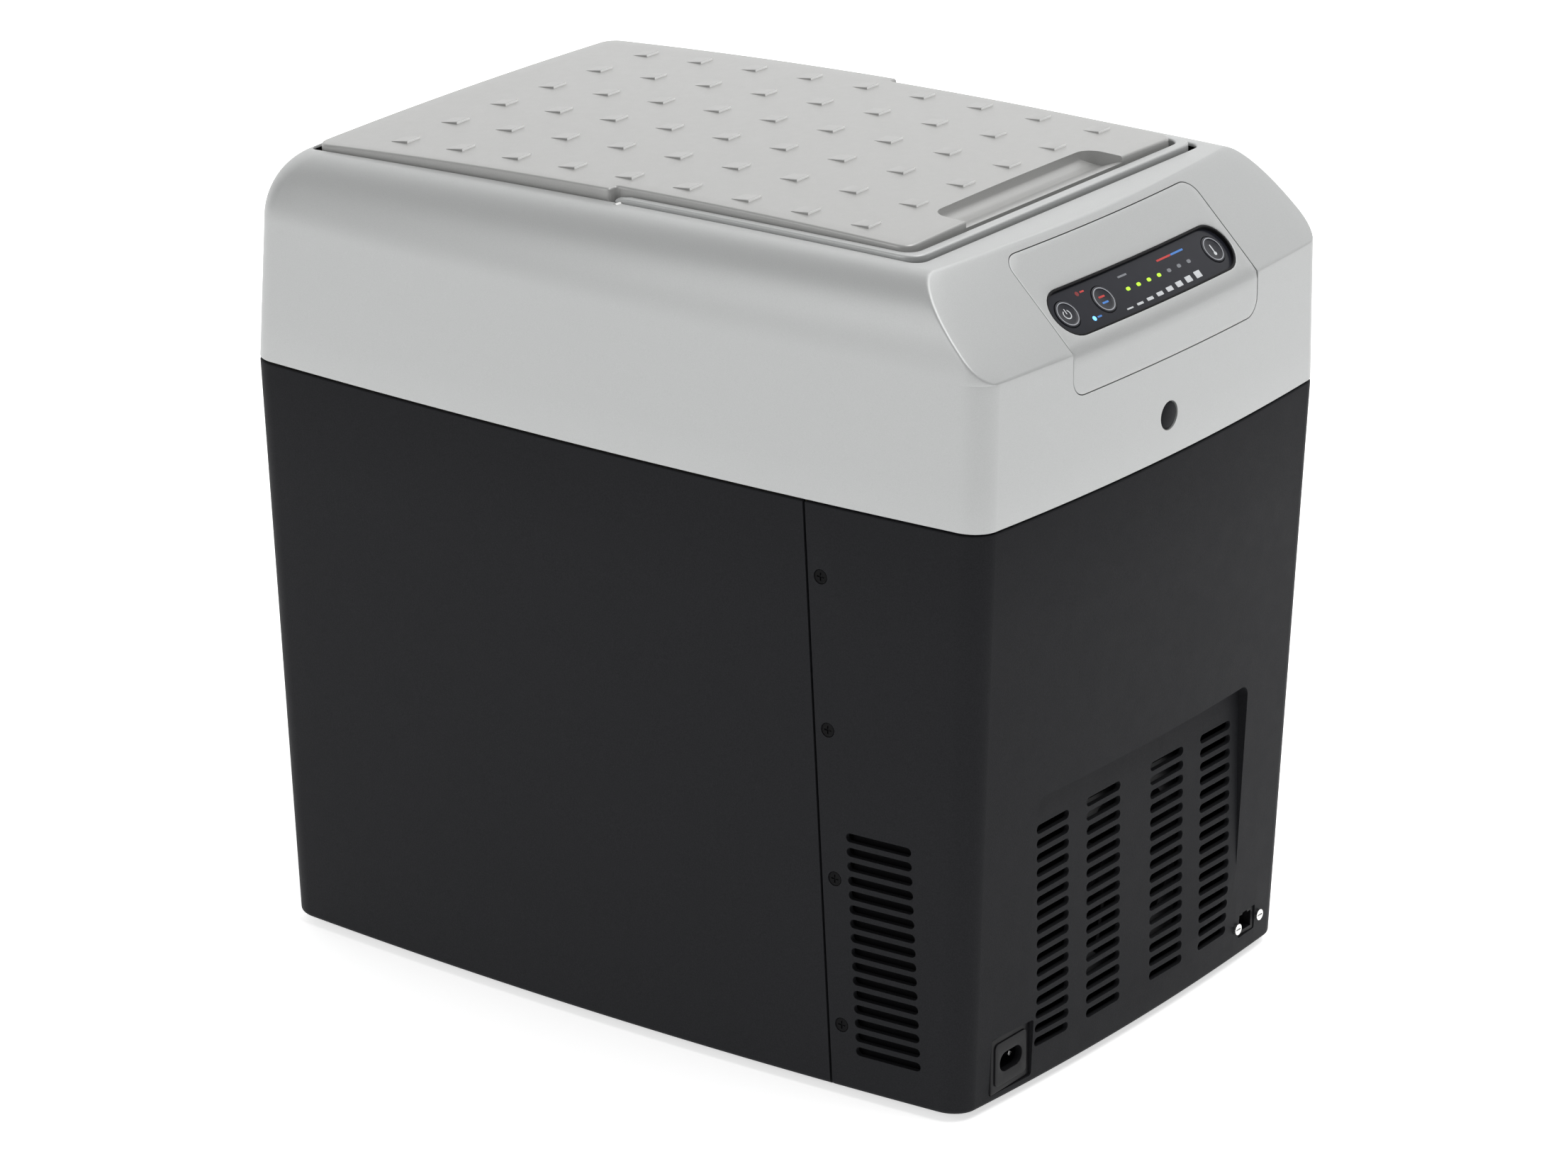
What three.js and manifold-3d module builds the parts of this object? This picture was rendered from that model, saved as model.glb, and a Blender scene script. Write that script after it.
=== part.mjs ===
// Portable thermoelectric cooler box with a hinged lid, a fold-down carry handle and a control panel.
// Millimetres, +Z up. The origin is at the middle of the footprint, at floor level. X runs across the
// box and Y along it. The control panel is on the -Y end and the lid hinge is at the +Y end.
import * as THREE from 'three';
import { mergeVertices } from 'three/addons/utils/BufferGeometryUtils.js';
import Module from 'manifold-3d';

const wasm = await Module();
wasm.setup();

// ---------------------------------------------------------------- driving dimensions
const CLEAR = 0.3; // gap kept between pieces that touch
const RUNNING = 0.1; // radial play of a hinge pin in its bore
const WALL = 2.6; // moulded shell thickness
const FAR = 400; // reach of cutting blocks, well past the body

// Plan of the body: half sizes at the middle of each side, and how far a side falls back at its ends.
const BASE = { z: 4, halfX: 146.5, front: 212, rear: 212, bowX: 8.5, bowY: 6.5 };
const SEAM = { z: 299, halfX: 151.5, front: 225, rear: 225, bowX: 8, bowY: 8 };
const SHOULDER = { z: 370, halfX: 149.5, front: 225, rear: 221, bowX: 7.5, bowY: 8 };
const RIM = { halfX: 122, front: 181, rear: 203, bowX: 3, bowY: 7 };
const CORNER = 13; // plan radius of the vertical corners
const FOOT_EDGE = 2.5; // softened lower edge of the casing

// The deck: rim, lid and handle lie in a frame that falls a little towards the hinge end.
const DECK_Z = 408;
const DECK_FALL = 0.024; // drop per millimetre of length
const RIM_ARCH = 2.5; // rise of the rim at mid length
const ARCH_SPAN = 200; // half length over which that rise fades out
const SEAT = -11.5; // floor of the lid recess
const RECESS = { halfX: 117.5, front: -164, rear: 200.3, corner: 6 };
const MOUTH = { halfX: 104, front: -107, rear: 174, corner: 14 };
const FLANGE = 8; // width of the liner's rim
const LINER_WALL = 2;
const LINER_FLOOR = 44;

// The lid, in the deck frame.
const LID = { halfX: 116.7, frontX: 110.9, stepY: 15, front: -153.4, rear: 196.6, corner: 8 };
const LID_UNDER = -5.6; // lower edge of the lid skirt
const LID_EDGE = 2.6; // height of the lid edge above the rim
const LID_CROWN_Y = 3;
const LID_CROWN_X = 1.6;
const HINGE = { y: 190.6, z: -3, radius: 2, inner: 112, outer: 121.5 };
const TREAD = { rows: 9, columns: 6, pitch: 34.4, pitchX: 38, firstY: 157, size: 10, height: 1.2 };
const GRIP = { halfX: 65, rear: -133, deep: 7, lip: 3.4 }; // finger scoop in the lid's front edge
const PLUG = { halfX: 101, front: -104, rear: 171, z: -16.5 }; // the lid's underside, inside the mouth

// The carry handle, in the deck frame.
const ARM = { inner: 111.8, outer: 116.8, top: 2, under: -5, pivotY: 8, endY: 12.5 };
const BAR = { front: -161.8, back: -156 };

// The end cover meets the lower casing on a line that leans with the tapering end.
const COVER_Y = -134.6;
const COVER_LEAN = 0.0425; // change of Y per millimetre of height
const BULKHEAD_Y = -141;
const BULKHEAD_TOP = 390;
const SCREW = { heights: [37, 112, 187, 263], setback: 7.5, head: 3.4, shank: 1.8 };

// Vents.
const SLOT = { height: 4.6, pitch: 7.3, count: 16, lowest: 24.5 };
const FRONT_COLUMNS = [{ x: 27.5, length: 29 }, { x: 70.5, length: 27 }];
const SIDE_COLUMN = { length: 36, setback: 33, lean: 0.05 };
const POCKET = { halfX: 91, bottom: 14, top: 154, depth: 8.5 };

// Control panel. Heights are measured up the sloping face from the shoulder.
const BEZEL = { halfX: 78, top: 409, bottom: 349, corner: 9, thick: 2.2 };
const WINDOW = { halfX: 73.6, up: 20, half: 12.8, sunk: 2.2, thick: 1.4 };
const BUTTONS = { power_button: [-61.5, 20], mode_button: [-33, 20], temperature_button: [61.5, 20] };
const BUTTON = { radius: 7.2, height: 2.3, proud: 0.5 };
const LEDS = { count: 7, firstX: -13, pitch: 8.7, up: 20, radius: 1.5 };
const MODE_LED = { x: -47, coolUp: 13.2, heatUp: 27 };
const BOARD = { depth: 5.1, thick: 1.6, halfX: 71, half: 14.6 };

// Sockets and plug on the front end.
const FRONT_PLUG = { z: 320, radius: 6.7, stem: 4, sunk: 1.6 };
const AC = { x: -101.5, z: 23, halfX: 16.2, halfZ: 14.7, pinX: 4.3 };
const DC = { x: 106, z: 20.5, halfX: 8, halfZ: 6.5, screwX: 11 };

// Thermoelectric unit, centred at the middle of the front vent pocket.
const UNIT_Z = 85;
const SINK = { halfX: 65, low: 30, high: 140, base: 5.3, back: -141.4, fins: 18, depth: 176 };
const HOT_FAN = { half: 46, front: -204, back: -179, bore: 43.5, hub: 18, blades: 7 };
const COLD_SINK = { halfX: 35, low: 52, high: 118, fins: 12 };
const COLD_FAN = { half: 30, front: -87.6, back: -72.6, bore: 28, hub: 12, blades: 7 };
const FEET = { x: 112, front: -178, rear: 178, radius: 12 };

const FINISH = {
  silver: { color: 0xbfc2c1, roughness: 0.42, metalness: 0.55 },
  charcoal: { color: 0x26272a, roughness: 0.5, metalness: 0 },
  liner: { color: 0xc9ccce, roughness: 0.5, metalness: 0 },
  foam: { color: 0xd9c98a, roughness: 0.95, metalness: 0 },
  rubber: { color: 0x18191a, roughness: 0.8, metalness: 0 },
  black: { color: 0x0d0d0f, roughness: 0.45, metalness: 0 },
  lens: { color: 0x484a55, roughness: 0.15, metalness: 0 },
  aluminium: { color: 0xa8abad, roughness: 0.4, metalness: 0.9 },
  steel: { color: 0xb8babc, roughness: 0.3, metalness: 1 },
  blackSteel: { color: 0x1c1c1e, roughness: 0.4, metalness: 0.8 },
  ceramic: { color: 0xe8e6e0, roughness: 0.6, metalness: 0 },
  board: { color: 0x14502c, roughness: 0.5, metalness: 0 },
  ledGreen: { color: 0xb4e61e, roughness: 0.3, metalness: 0 },
  ledBlue: { color: 0x3c8cff, roughness: 0.3, metalness: 0 },
  ledRed: { color: 0x7a1c18, roughness: 0.3, metalness: 0 },
};

// ---------------------------------------------------------------- solids
const { lerp } = THREE.MathUtils;

function toSolid(geometry) {
  let closed = geometry;
  if (!geometry.userData.welded) {
    closed = geometry.clone();
    closed.deleteAttribute('normal');
    closed.deleteAttribute('uv');
    closed = mergeVertices(closed, 1e-4);
  }
  return new wasm.Manifold(new wasm.Mesh({
    numProp: 3,
    vertProperties: Float32Array.from(closed.attributes.position.array),
    triVerts: Uint32Array.from(closed.index.array),
  }));
}

function toGeometry(solid) {
  const mesh = solid.getMesh();
  const geometry = new THREE.BufferGeometry();
  geometry.setAttribute('position', new THREE.BufferAttribute(Float32Array.from(mesh.vertProperties), 3));
  geometry.setIndex(new THREE.BufferAttribute(Uint32Array.from(mesh.triVerts), 1));
  geometry.userData.welded = true;
  return geometry;
}

function combine(method, first, others) {
  const solids = others.flat().map(toSolid);
  return toGeometry(solids.reduce((sum, next) => sum[method](next), toSolid(first)));
}

const join = (first, ...others) => combine('add', first, others);
const cut = (first, ...others) => combine('subtract', first, others);
const common = (first, ...others) => combine('intersect', first, others);

function moved(geometry, matrix) {
  const copy = geometry.clone();
  copy.applyMatrix4(matrix);
  return copy;
}

const shifted = (geometry, x, y, z) => moved(geometry, new THREE.Matrix4().makeTranslation(x, y, z));

function block(x0, x1, y0, y1, z0, z1) {
  const geometry = new THREE.BoxGeometry(x1 - x0, y1 - y0, z1 - z0);
  return shifted(geometry, (x0 + x1) / 2, (y0 + y1) / 2, (z0 + z1) / 2);
}

// A round bar along X, Y or Z, between two coordinates of that axis; a and b are the other two.
function rod(axis, radius, from, to, a, b, sides = 16) {
  const geometry = new THREE.CylinderGeometry(radius, radius, to - from, sides);
  const mid = (from + to) / 2;
  if (axis === 'x') return shifted(geometry.rotateZ(Math.PI / 2), mid, a, b);
  if (axis === 'y') return shifted(geometry, a, mid, b);
  return shifted(geometry.rotateX(Math.PI / 2), a, b, mid);
}

function prism(outline, from, to, holes = []) {
  const shape = new THREE.Shape(outline);
  shape.holes = holes.map((hole) => new THREE.Path(hole));
  const geometry = new THREE.ExtrudeGeometry(shape, { depth: to - from, bevelEnabled: false });
  return shifted(geometry, 0, 0, from);
}

// A side view (y, z) extruded across the box from x0 to x1.
function sidePrism(outline, x0, x1) {
  const geometry = prism(outline, x0, x1);
  const basis = new THREE.Matrix4().makeBasis(
    new THREE.Vector3(0, 1, 0), new THREE.Vector3(0, 0, 1), new THREE.Vector3(1, 0, 0));
  return moved(geometry, basis);
}

function arc(cx, cy, radiusX, radiusY, from, to, segments) {
  const points = [];
  for (let i = 0; i <= segments; i++) {
    const angle = lerp(from, to, i / segments);
    points.push(new THREE.Vector2(cx + radiusX * Math.cos(angle), cy + radiusY * Math.sin(angle)));
  }
  return points;
}

const circle = (radius, segments = 24) => arc(0, 0, radius, radius, 0, 2 * Math.PI, segments).slice(0, -1);

function stadium(halfLength, halfHeight, segments = 3) {
  const reach = halfLength - halfHeight;
  return [
    ...arc(reach, 0, halfHeight, halfHeight, -Math.PI / 2, Math.PI / 2, segments),
    ...arc(-reach, 0, halfHeight, halfHeight, Math.PI / 2, 1.5 * Math.PI, segments),
  ];
}

// A rectangle with round corners between two X and two Y coordinates.
function roundedRectangle(x0, x1, y0, y1, radius, segments = 3) {
  const quarter = Math.PI / 2;
  return [
    ...arc(x1 - radius, y1 - radius, radius, radius, 0, quarter, segments),
    ...arc(x0 + radius, y1 - radius, radius, radius, quarter, 2 * quarter, segments),
    ...arc(x0 + radius, y0 + radius, radius, radius, 2 * quarter, 3 * quarter, segments),
    ...arc(x1 - radius, y0 + radius, radius, radius, 3 * quarter, 4 * quarter, segments),
  ];
}

// A closed solid between rings that all have the same number of points.
function loft(rings) {
  const count = rings[0].length;
  const positions = [];
  const centre = (ring) => ring.reduce((sum, p) => sum.add(p), new THREE.Vector3()).divideScalar(count);
  for (const ring of rings) ring.forEach((p) => positions.push(p.x, p.y, p.z));
  for (const ring of [rings[0], rings[rings.length - 1]]) positions.push(...centre(ring).toArray());
  const bottom = rings.length * count;
  const last = (rings.length - 1) * count;
  const index = [];
  for (let i = 0; i < count; i++) {
    const next = (i + 1) % count;
    for (let row = 0; row < last; row += count) {
      index.push(row + i, row + next, row + count + next);
      index.push(row + i, row + count + next, row + count + i);
    }
    index.push(bottom, next, i, bottom + 1, last + i, last + next);
  }
  const geometry = new THREE.BufferGeometry();
  geometry.setAttribute('position', new THREE.Float32BufferAttribute(positions, 3));
  geometry.setIndex(index);
  geometry.userData.welded = true;
  return geometry;
}

// A block over a grid of X and Y lines, between a lower and an upper surface.
function sheetBlock(xs, ys, lower, upper) {
  const positions = [];
  for (const height of [lower, upper]) {
    for (const y of ys) for (const x of xs) positions.push(x, y, height(x, y));
  }
  const layer = xs.length * ys.length;
  const at = (i, j, top) => top * layer + j * xs.length + i;
  const index = [];
  const quad = (a, b, c, d) => index.push(a, b, c, a, c, d);
  for (let j = 0; j + 1 < ys.length; j++) {
    for (let i = 0; i + 1 < xs.length; i++) {
      quad(at(i, j, 1), at(i + 1, j, 1), at(i + 1, j + 1, 1), at(i, j + 1, 1));
      quad(at(i, j, 0), at(i, j + 1, 0), at(i + 1, j + 1, 0), at(i + 1, j, 0));
    }
    const right = xs.length - 1;
    quad(at(right, j, 0), at(right, j + 1, 0), at(right, j + 1, 1), at(right, j, 1));
    quad(at(0, j + 1, 0), at(0, j, 0), at(0, j, 1), at(0, j + 1, 1));
  }
  for (let i = 0; i + 1 < xs.length; i++) {
    const back = ys.length - 1;
    quad(at(i, 0, 0), at(i + 1, 0, 0), at(i + 1, 0, 1), at(i, 0, 1));
    quad(at(i + 1, back, 0), at(i, back, 0), at(i, back, 1), at(i + 1, back, 1));
  }
  const geometry = new THREE.BufferGeometry();
  geometry.setAttribute('position', new THREE.Float32BufferAttribute(positions, 3));
  geometry.setIndex(index);
  geometry.userData.welded = true;
  return geometry;
}

// ---------------------------------------------------------------- body surface
const arch = (y) => RIM_ARCH * Math.max(0, 1 - (y / ARCH_SPAN) ** 2);
const rimHeight = (y) => DECK_Z - DECK_FALL * y + arch(y);

// A quarter of a body outline. Where the sloping front cuts the corner off, the cut leaves a crisp edge.
function quarterOutline(level, inset, length, full) {
  const halfX = level.halfX - inset;
  const corner = Math.max(CORNER - inset, 2);
  const halfY = full - inset;
  const side = (y) => halfX - level.bowX * (y / halfY) ** 2;
  const end = (x) => halfY - level.bowY * (x / halfX) ** 2;
  const cutEnd = (x) => length - inset - level.bowY * (x / halfX) ** 2;
  const cornerY = halfY - level.bowY - corner;
  const cornerX = side(cornerY) - corner;
  const path = [];
  for (let i = 0; i < 40; i++) path.push(new THREE.Vector2(side((cornerY * i) / 40), (cornerY * i) / 40));
  path.push(...arc(cornerX, cornerY, corner, end(cornerX) - cornerY, 0, Math.PI / 2, 24));
  if (length < full) {
    const beyond = path.findIndex((p) => p.y > cutEnd(p.x));
    const a = path[beyond - 1];
    const b = path[beyond];
    const over = (p) => p.y - cutEnd(p.x);
    path.length = beyond;
    path.push(a.clone().lerp(b, over(a) / (over(a) - over(b))));
  }
  const along = [0];
  for (let i = 1; i < path.length; i++) along.push(along[i - 1] + path[i].distanceTo(path[i - 1]));
  const total = along.at(-1);
  const pointAt = (distance) => {
    const i = Math.max(1, along.findIndex((d) => d >= distance - 1e-9));
    return path[i - 1].clone().lerp(path[i], (distance - along[i - 1]) / (along[i] - along[i - 1]));
  };
  const cornerLength = (corner * Math.PI) / 2;
  const places = [0, 1, 2].map((i) => ((total - cornerLength) * i) / 3);
  for (let i = 0; i <= 4; i++) places.push(total - cornerLength * (1 - i / 4));
  const quarter = places.map(pointAt);
  const lastX = quarter.at(-1).x;
  quarter.push(...[2, 1].map((i) => new THREE.Vector2((lastX * i) / 3, cutEnd((lastX * i) / 3))));
  quarter.push(new THREE.Vector2(0, cutEnd(0)));
  return quarter;
}

// One level of the body, as a closed ring that runs anticlockwise seen from above.
function ring(level, inset, height) {
  const points = [];
  for (const [signX, signY, length] of [[1, 1, level.rear], [-1, 1, level.rear],
    [-1, -1, level.front], [1, -1, level.front]]) {
    const full = signY < 0 ? level.full ?? length : length;
    const quarter = quarterOutline(level, inset, length, full);
    const run = signX * signY > 0 ? quarter.slice(0, -1) : quarter.slice(1).reverse();
    points.push(...run.map((p) => new THREE.Vector3(signX * p.x, signY * p.y, 0)));
  }
  points.forEach((p) => { p.z = height(p.y); });
  return points;
}

function blend(a, b, t) {
  return Object.fromEntries(Object.keys(b).map((key) => [key, lerp(a[key] ?? 0, b[key], t)]));
}

// The upper body above the shoulder rolls in like a quarter ellipse, and its front end is a flat slope.
function rollLevel(t) {
  const level = blend(RIM, SHOULDER, Math.sqrt(1 - t * t));
  level.front = lerp(SHOULDER.front, RIM.front, t);
  level.full = SHOULDER.front;
  return level;
}

const ROLL_STEPS = [0.03, 0.1, 0.22, 0.42, 0.6, 0.75, 0.87, 0.95, 1];

function lowerBody(inset, from = BASE.z, to = SEAM.z) {
  const rings = [ring(blend(BASE, SEAM, 0), inset + FOOT_EDGE, () => from)];
  for (const z of [from + FOOT_EDGE, to]) {
    const level = blend(BASE, SEAM, (z - BASE.z) / (SEAM.z - BASE.z));
    rings.push(ring(level, inset, () => z));
  }
  return loft(rings);
}

function upperBody(inset, from = SEAM.z) {
  const rings = [ring(SEAM, inset, () => SEAM.z), ring(SHOULDER, inset, () => SHOULDER.z)];
  if (from < SEAM.z) rings.unshift(ring(SEAM, inset, () => from));
  for (const t of ROLL_STEPS) {
    rings.push(ring(rollLevel(t), inset, (y) => lerp(SHOULDER.z, rimHeight(y) - inset, t)));
  }
  return loft(rings);
}

// Y of the front end of the body, and half its width, at a place on it.
function frontY(x, z) {
  const level = blend(BASE, SEAM, Math.min((z - BASE.z) / (SEAM.z - BASE.z), 1));
  return -(level.front - level.bowY * (x / level.halfX) ** 2);
}

function sideX(y, z) {
  const level = blend(BASE, SEAM, (z - BASE.z) / (SEAM.z - BASE.z));
  return level.halfX - level.bowX * (y / level.front) ** 2;
}

const coverY = (z) => COVER_Y + COVER_LEAN * (z - BASE.z);

// Everything on one side of the joint between casing and end cover, shifted by a gap.
function behindJoint(gap) {
  const y = (z) => coverY(z) + gap;
  const low = -FAR;
  return sidePrism([[y(low), low], [FAR, low], [FAR, FAR + 100], [y(FAR + 100), FAR + 100]]
    .map(([a, b]) => new THREE.Vector2(a, b)), -FAR, FAR);
}

// ---------------------------------------------------------------- frames
const deckMatrix = new THREE.Matrix4().makeRotationX(-Math.atan(DECK_FALL))
  .setPosition(0, 0, DECK_Z);
const onDeck = (geometry) => moved(geometry, deckMatrix);

const slopeRun = SHOULDER.front - RIM.front;
const slopeRise = rimHeight(-RIM.front) - SHOULDER.z;
const slopeLength = Math.hypot(slopeRun, slopeRise);

// A frame on the sloping panel: Z points out of it, Y up the slope, X across. Depth is below the skin.
function panelMatrix(x, up, depth = 0) {
  const level = rollLevel(up / slopeLength);
  const lean = Math.atan2(slopeRise, slopeRun);
  const bow = (2 * level.bowY * x) / level.halfX ** 2;
  const y = -(level.front - level.bowY * (x / level.halfX) ** 2);
  const z = SHOULDER.z + (slopeRise * up) / slopeLength;
  const turn = new THREE.Matrix4().makeRotationFromEuler(new THREE.Euler(lean, 0, bow, 'ZXY'));
  return new THREE.Matrix4().makeTranslation(x, y, z).multiply(turn)
    .multiply(new THREE.Matrix4().makeTranslation(0, 0, -depth));
}

const onPanel = (geometry, x, up, depth) => moved(geometry, panelMatrix(x, up, depth));

// ---------------------------------------------------------------- scene graph
const cooler = new THREE.Group();
const deck = new THREE.Group();
deck.applyMatrix4(deckMatrix);
cooler.add(deck);

function add(parent, name, geometry, finish) {
  const plain = geometry.index ? geometry : mergeVertices(geometry);
  plain.computeVertexNormals();
  const mesh = new THREE.Mesh(plain, new THREE.MeshStandardMaterial(FINISH[finish]));
  mesh.name = name;
  parent.add(mesh);
  return mesh;
}

// ---------------------------------------------------------------- lower casing, cover and screws
function screwPlaces() {
  return SCREW.heights.map((z) => ({ z, y: coverY(z) - SCREW.setback }));
}

function screwTools(radius, from, to) {
  return screwPlaces().flatMap(({ y, z }) => [-1, 1].map((side) => {
    const face = side * sideX(y, z);
    return rod('x', radius, Math.min(face - side * from, face - side * to),
      Math.max(face - side * from, face - side * to), y, z, 12);
  }));
}

function buildLowerCasing() {
  const flangeInset = WALL + CLEAR;
  const top = SEAM.z - CLEAR;
  const ahead = block(-FAR, FAR, BULKHEAD_Y, FAR, -FAR, top);
  const rearPart = common(lowerBody(0, BASE.z, SEAM.z), behindJoint(0), ahead);
  const flange = common(lowerBody(flangeInset, BASE.z + flangeInset), ahead);
  const bulkhead = common(join(lowerBody(flangeInset, BASE.z + flangeInset), upperBody(flangeInset + CLEAR)),
    block(-FAR, FAR, BULKHEAD_Y, BULKHEAD_Y + WALL, -FAR, BULKHEAD_TOP));
  const inside = common(lowerBody(flangeInset + WALL, BASE.z + WALL, SEAM.z + 50),
    block(-FAR, FAR, BULKHEAD_Y + WALL, FAR, -FAR, FAR));
  const roomy = common(lowerBody(WALL, BASE.z + WALL, SEAM.z + 50), behindJoint(WALL));
  const window = block(-22, 22, BULKHEAD_Y - 5, BULKHEAD_Y + 5, UNIT_Z - 22, UNIT_Z + 22);
  const clampHoles = clampPlaces().map(([x, z]) => rod('y', 2.1, -150, -135, x, z, 12));
  return cut(join(rearPart, flange, bulkhead), inside, roomy, window, clampHoles,
    screwTools(SCREW.shank + CLEAR, -1, 7));
}

function slots(x, length, from, to, z0 = SLOT.lowest) {
  const tools = [];
  for (let i = 0; i < SLOT.count; i++) {
    const slot = prism(stadium(length / 2, SLOT.height / 2, 2), from, to);
    tools.push(shifted(slot.rotateX(Math.PI / 2), x, 0, z0 + i * SLOT.pitch));
  }
  return tools;
}

function sideSlots() {
  const tools = [];
  for (let i = 0; i < SLOT.count; i++) {
    const z = SLOT.lowest + 1 + i * SLOT.pitch;
    const y = coverY(z) - SIDE_COLUMN.setback;
    const slot = prism(stadium(SIDE_COLUMN.length / 2, SLOT.height / 2, 2), -FAR, FAR);
    const turn = new THREE.Matrix4().makeBasis(
      new THREE.Vector3(0, 1, 0), new THREE.Vector3(0, 0, 1), new THREE.Vector3(1, 0, 0));
    tools.push(shifted(moved(slot, turn), 0, y, z));
  }
  return tools;
}

// The front vent pocket is deepest at its top and runs out at its bottom.
function pocketWedge(depth, grow) {
  const outline = [
    [-FAR, POCKET.bottom - grow],
    [frontY(0, POCKET.bottom) + depth, POCKET.bottom - grow],
    [frontY(0, POCKET.top) + POCKET.depth + depth, POCKET.top + grow],
    [-FAR, POCKET.top + grow],
  ].map(([y, z]) => new THREE.Vector2(y, z));
  return sidePrism(outline, -POCKET.halfX - grow, POCKET.halfX + grow);
}

function buildMachineCover() {
  const front = block(-FAR, FAR, -FAR, FAR, -FAR, SEAM.z - CLEAR);
  const whole = cut(common(lowerBody(0), front), behindJoint(-CLEAR));
  const hollow = lowerBody(WALL, BASE.z + WALL, SEAM.z + 50);
  const backing = common(whole, cut(pocketWedge(WALL, WALL), pocketWedge(-20, WALL)));
  const shell = cut(join(cut(whole, hollow), backing), pocketWedge(0, 0));
  const ventTools = FRONT_COLUMNS.flatMap(({ x, length }) => [-x, x].flatMap(
    (centre) => slots(centre, length, 180, FAR)));
  const acHole = block(AC.x - AC.halfX, AC.x + AC.halfX, -FAR, -180, AC.z - AC.halfZ, AC.z + AC.halfZ);
  const dcHole = block(DC.x - DC.halfX, DC.x + DC.halfX, -FAR, -180, DC.z - DC.halfZ, DC.z + DC.halfZ);
  const dcScrews = [-1, 1].map((s) => rod('y', 1.9, -230, -190, DC.x + s * DC.screwX, DC.z, 12));
  return cut(shell, ventTools, sideSlots(), acHole, dcHole, dcScrews,
    screwTools(SCREW.shank + CLEAR, -1, 7), screwTools(SCREW.head + CLEAR, -5, 1.2));
}

function buildCoverScrew(side, { y, z }) {
  const face = sideX(y, z);
  const head = rod('x', SCREW.head, face - 1, face - 0.2, y, z, 14);
  const shank = rod('x', SCREW.shank, face - 5.3, face - 0.9, y, z, 12);
  const drive = join(block(face - 0.7, face + 1, y - 2, y + 2, z - 0.4, z + 0.4),
    block(face - 0.7, face + 1, y - 0.4, y + 0.4, z - 2, z + 2));
  const screw = cut(join(head, shank), drive);
  return side > 0 ? screw : moved(screw, new THREE.Matrix4().makeRotationZ(Math.PI)
    .premultiply(new THREE.Matrix4().makeTranslation(0, 2 * y, 0)));
}

// ---------------------------------------------------------------- upper casing and liner
const deckPrism = (zone, grow, z0, z1) => prism(roundedRectangle(-zone.halfX - grow, zone.halfX + grow,
  zone.front - grow, zone.rear + grow, zone.corner + grow), z0, z1);

const bezelPrism = (grow) => {
  const outline = roundedRectangle(-BEZEL.halfX - grow, BEZEL.halfX + grow,
    BEZEL.bottom - grow, BEZEL.top + grow, BEZEL.corner);
  return moved(prism(outline, 140, FAR), new THREE.Matrix4().makeRotationX(Math.PI / 2));
};

function pinHoles(radius, spot) {
  return rod('x', radius, -HINGE.outer - 1, HINGE.outer + 1, spot.y, spot.z, 12);
}

const hingeSpot = { y: HINGE.y, z: HINGE.z };
const plugSeat = frontY(0, FRONT_PLUG.z) + FRONT_PLUG.sunk;
const pivotSpot = { y: ARM.pivotY, z: (ARM.top + ARM.under) / 2 + arch(ARM.pivotY) };

function buildUpperCasing() {
  const body = cut(upperBody(0), block(-FAR, FAR, -FAR, FAR, -FAR, SEAM.z + CLEAR));
  const shell = cut(body, upperBody(WALL, -FAR));
  const floor = common(onDeck(deckPrism(RECESS, WALL, SEAT - WALL, SEAT)), upperBody(1));
  const curb = common(onDeck(deckPrism(RECESS, WALL, SEAT - WALL, 20)), body);
  const ledge = common(cut(upperBody(BEZEL.thick + CLEAR), upperBody(BEZEL.thick + CLEAR + WALL, -FAR)),
    cut(bezelPrism(5), bezelPrism(-3)));
  const boss = rod('y', FRONT_PLUG.radius + WALL, plugSeat, plugSeat + WALL, 0, FRONT_PLUG.z, 20);
  return cut(join(cut(join(shell, floor, curb), bezelPrism(CLEAR)), ledge, boss),
    onDeck(deckPrism(RECESS, 0, SEAT, 40)),
    linerPrism(LINER_WALL + CLEAR, SEAM.z),
    rod('y', FRONT_PLUG.stem + CLEAR, -FAR, -200, 0, FRONT_PLUG.z),
    rod('y', FRONT_PLUG.radius + CLEAR, -FAR, plugSeat, 0, FRONT_PLUG.z, 20),
    onDeck(pinHoles(HINGE.radius + RUNNING, hingeSpot)),
    onDeck(pinHoles(HINGE.radius + RUNNING, pivotSpot)));
}

function buildLiner() {
  const flange = onDeck(deckPrism(MOUTH, FLANGE, SEAT + CLEAR, SEAT + CLEAR + 1.6));
  const bucket = linerPrism(LINER_WALL, LINER_FLOOR - LINER_WALL);
  const under = onDeck(block(-FAR, FAR, -FAR, FAR, SEAT + CLEAR + 0.8, 200));
  const outer = join(cut(bucket, under), flange);
  const openTop = linerPrism(0, LINER_FLOOR);
  const coldHole = block(-20.6, 20.6, MOUTH.front - 5, MOUTH.front + 5, UNIT_Z - 20.6, UNIT_Z + 20.6);
  return cut(outer, openTop, coldHole);
}

const linerPrism = (grow, from) => prism(roundedRectangle(-MOUTH.halfX - grow, MOUTH.halfX + grow,
  MOUTH.front - grow, MOUTH.rear + grow, MOUTH.corner + grow), from, FAR + 100);

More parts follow.
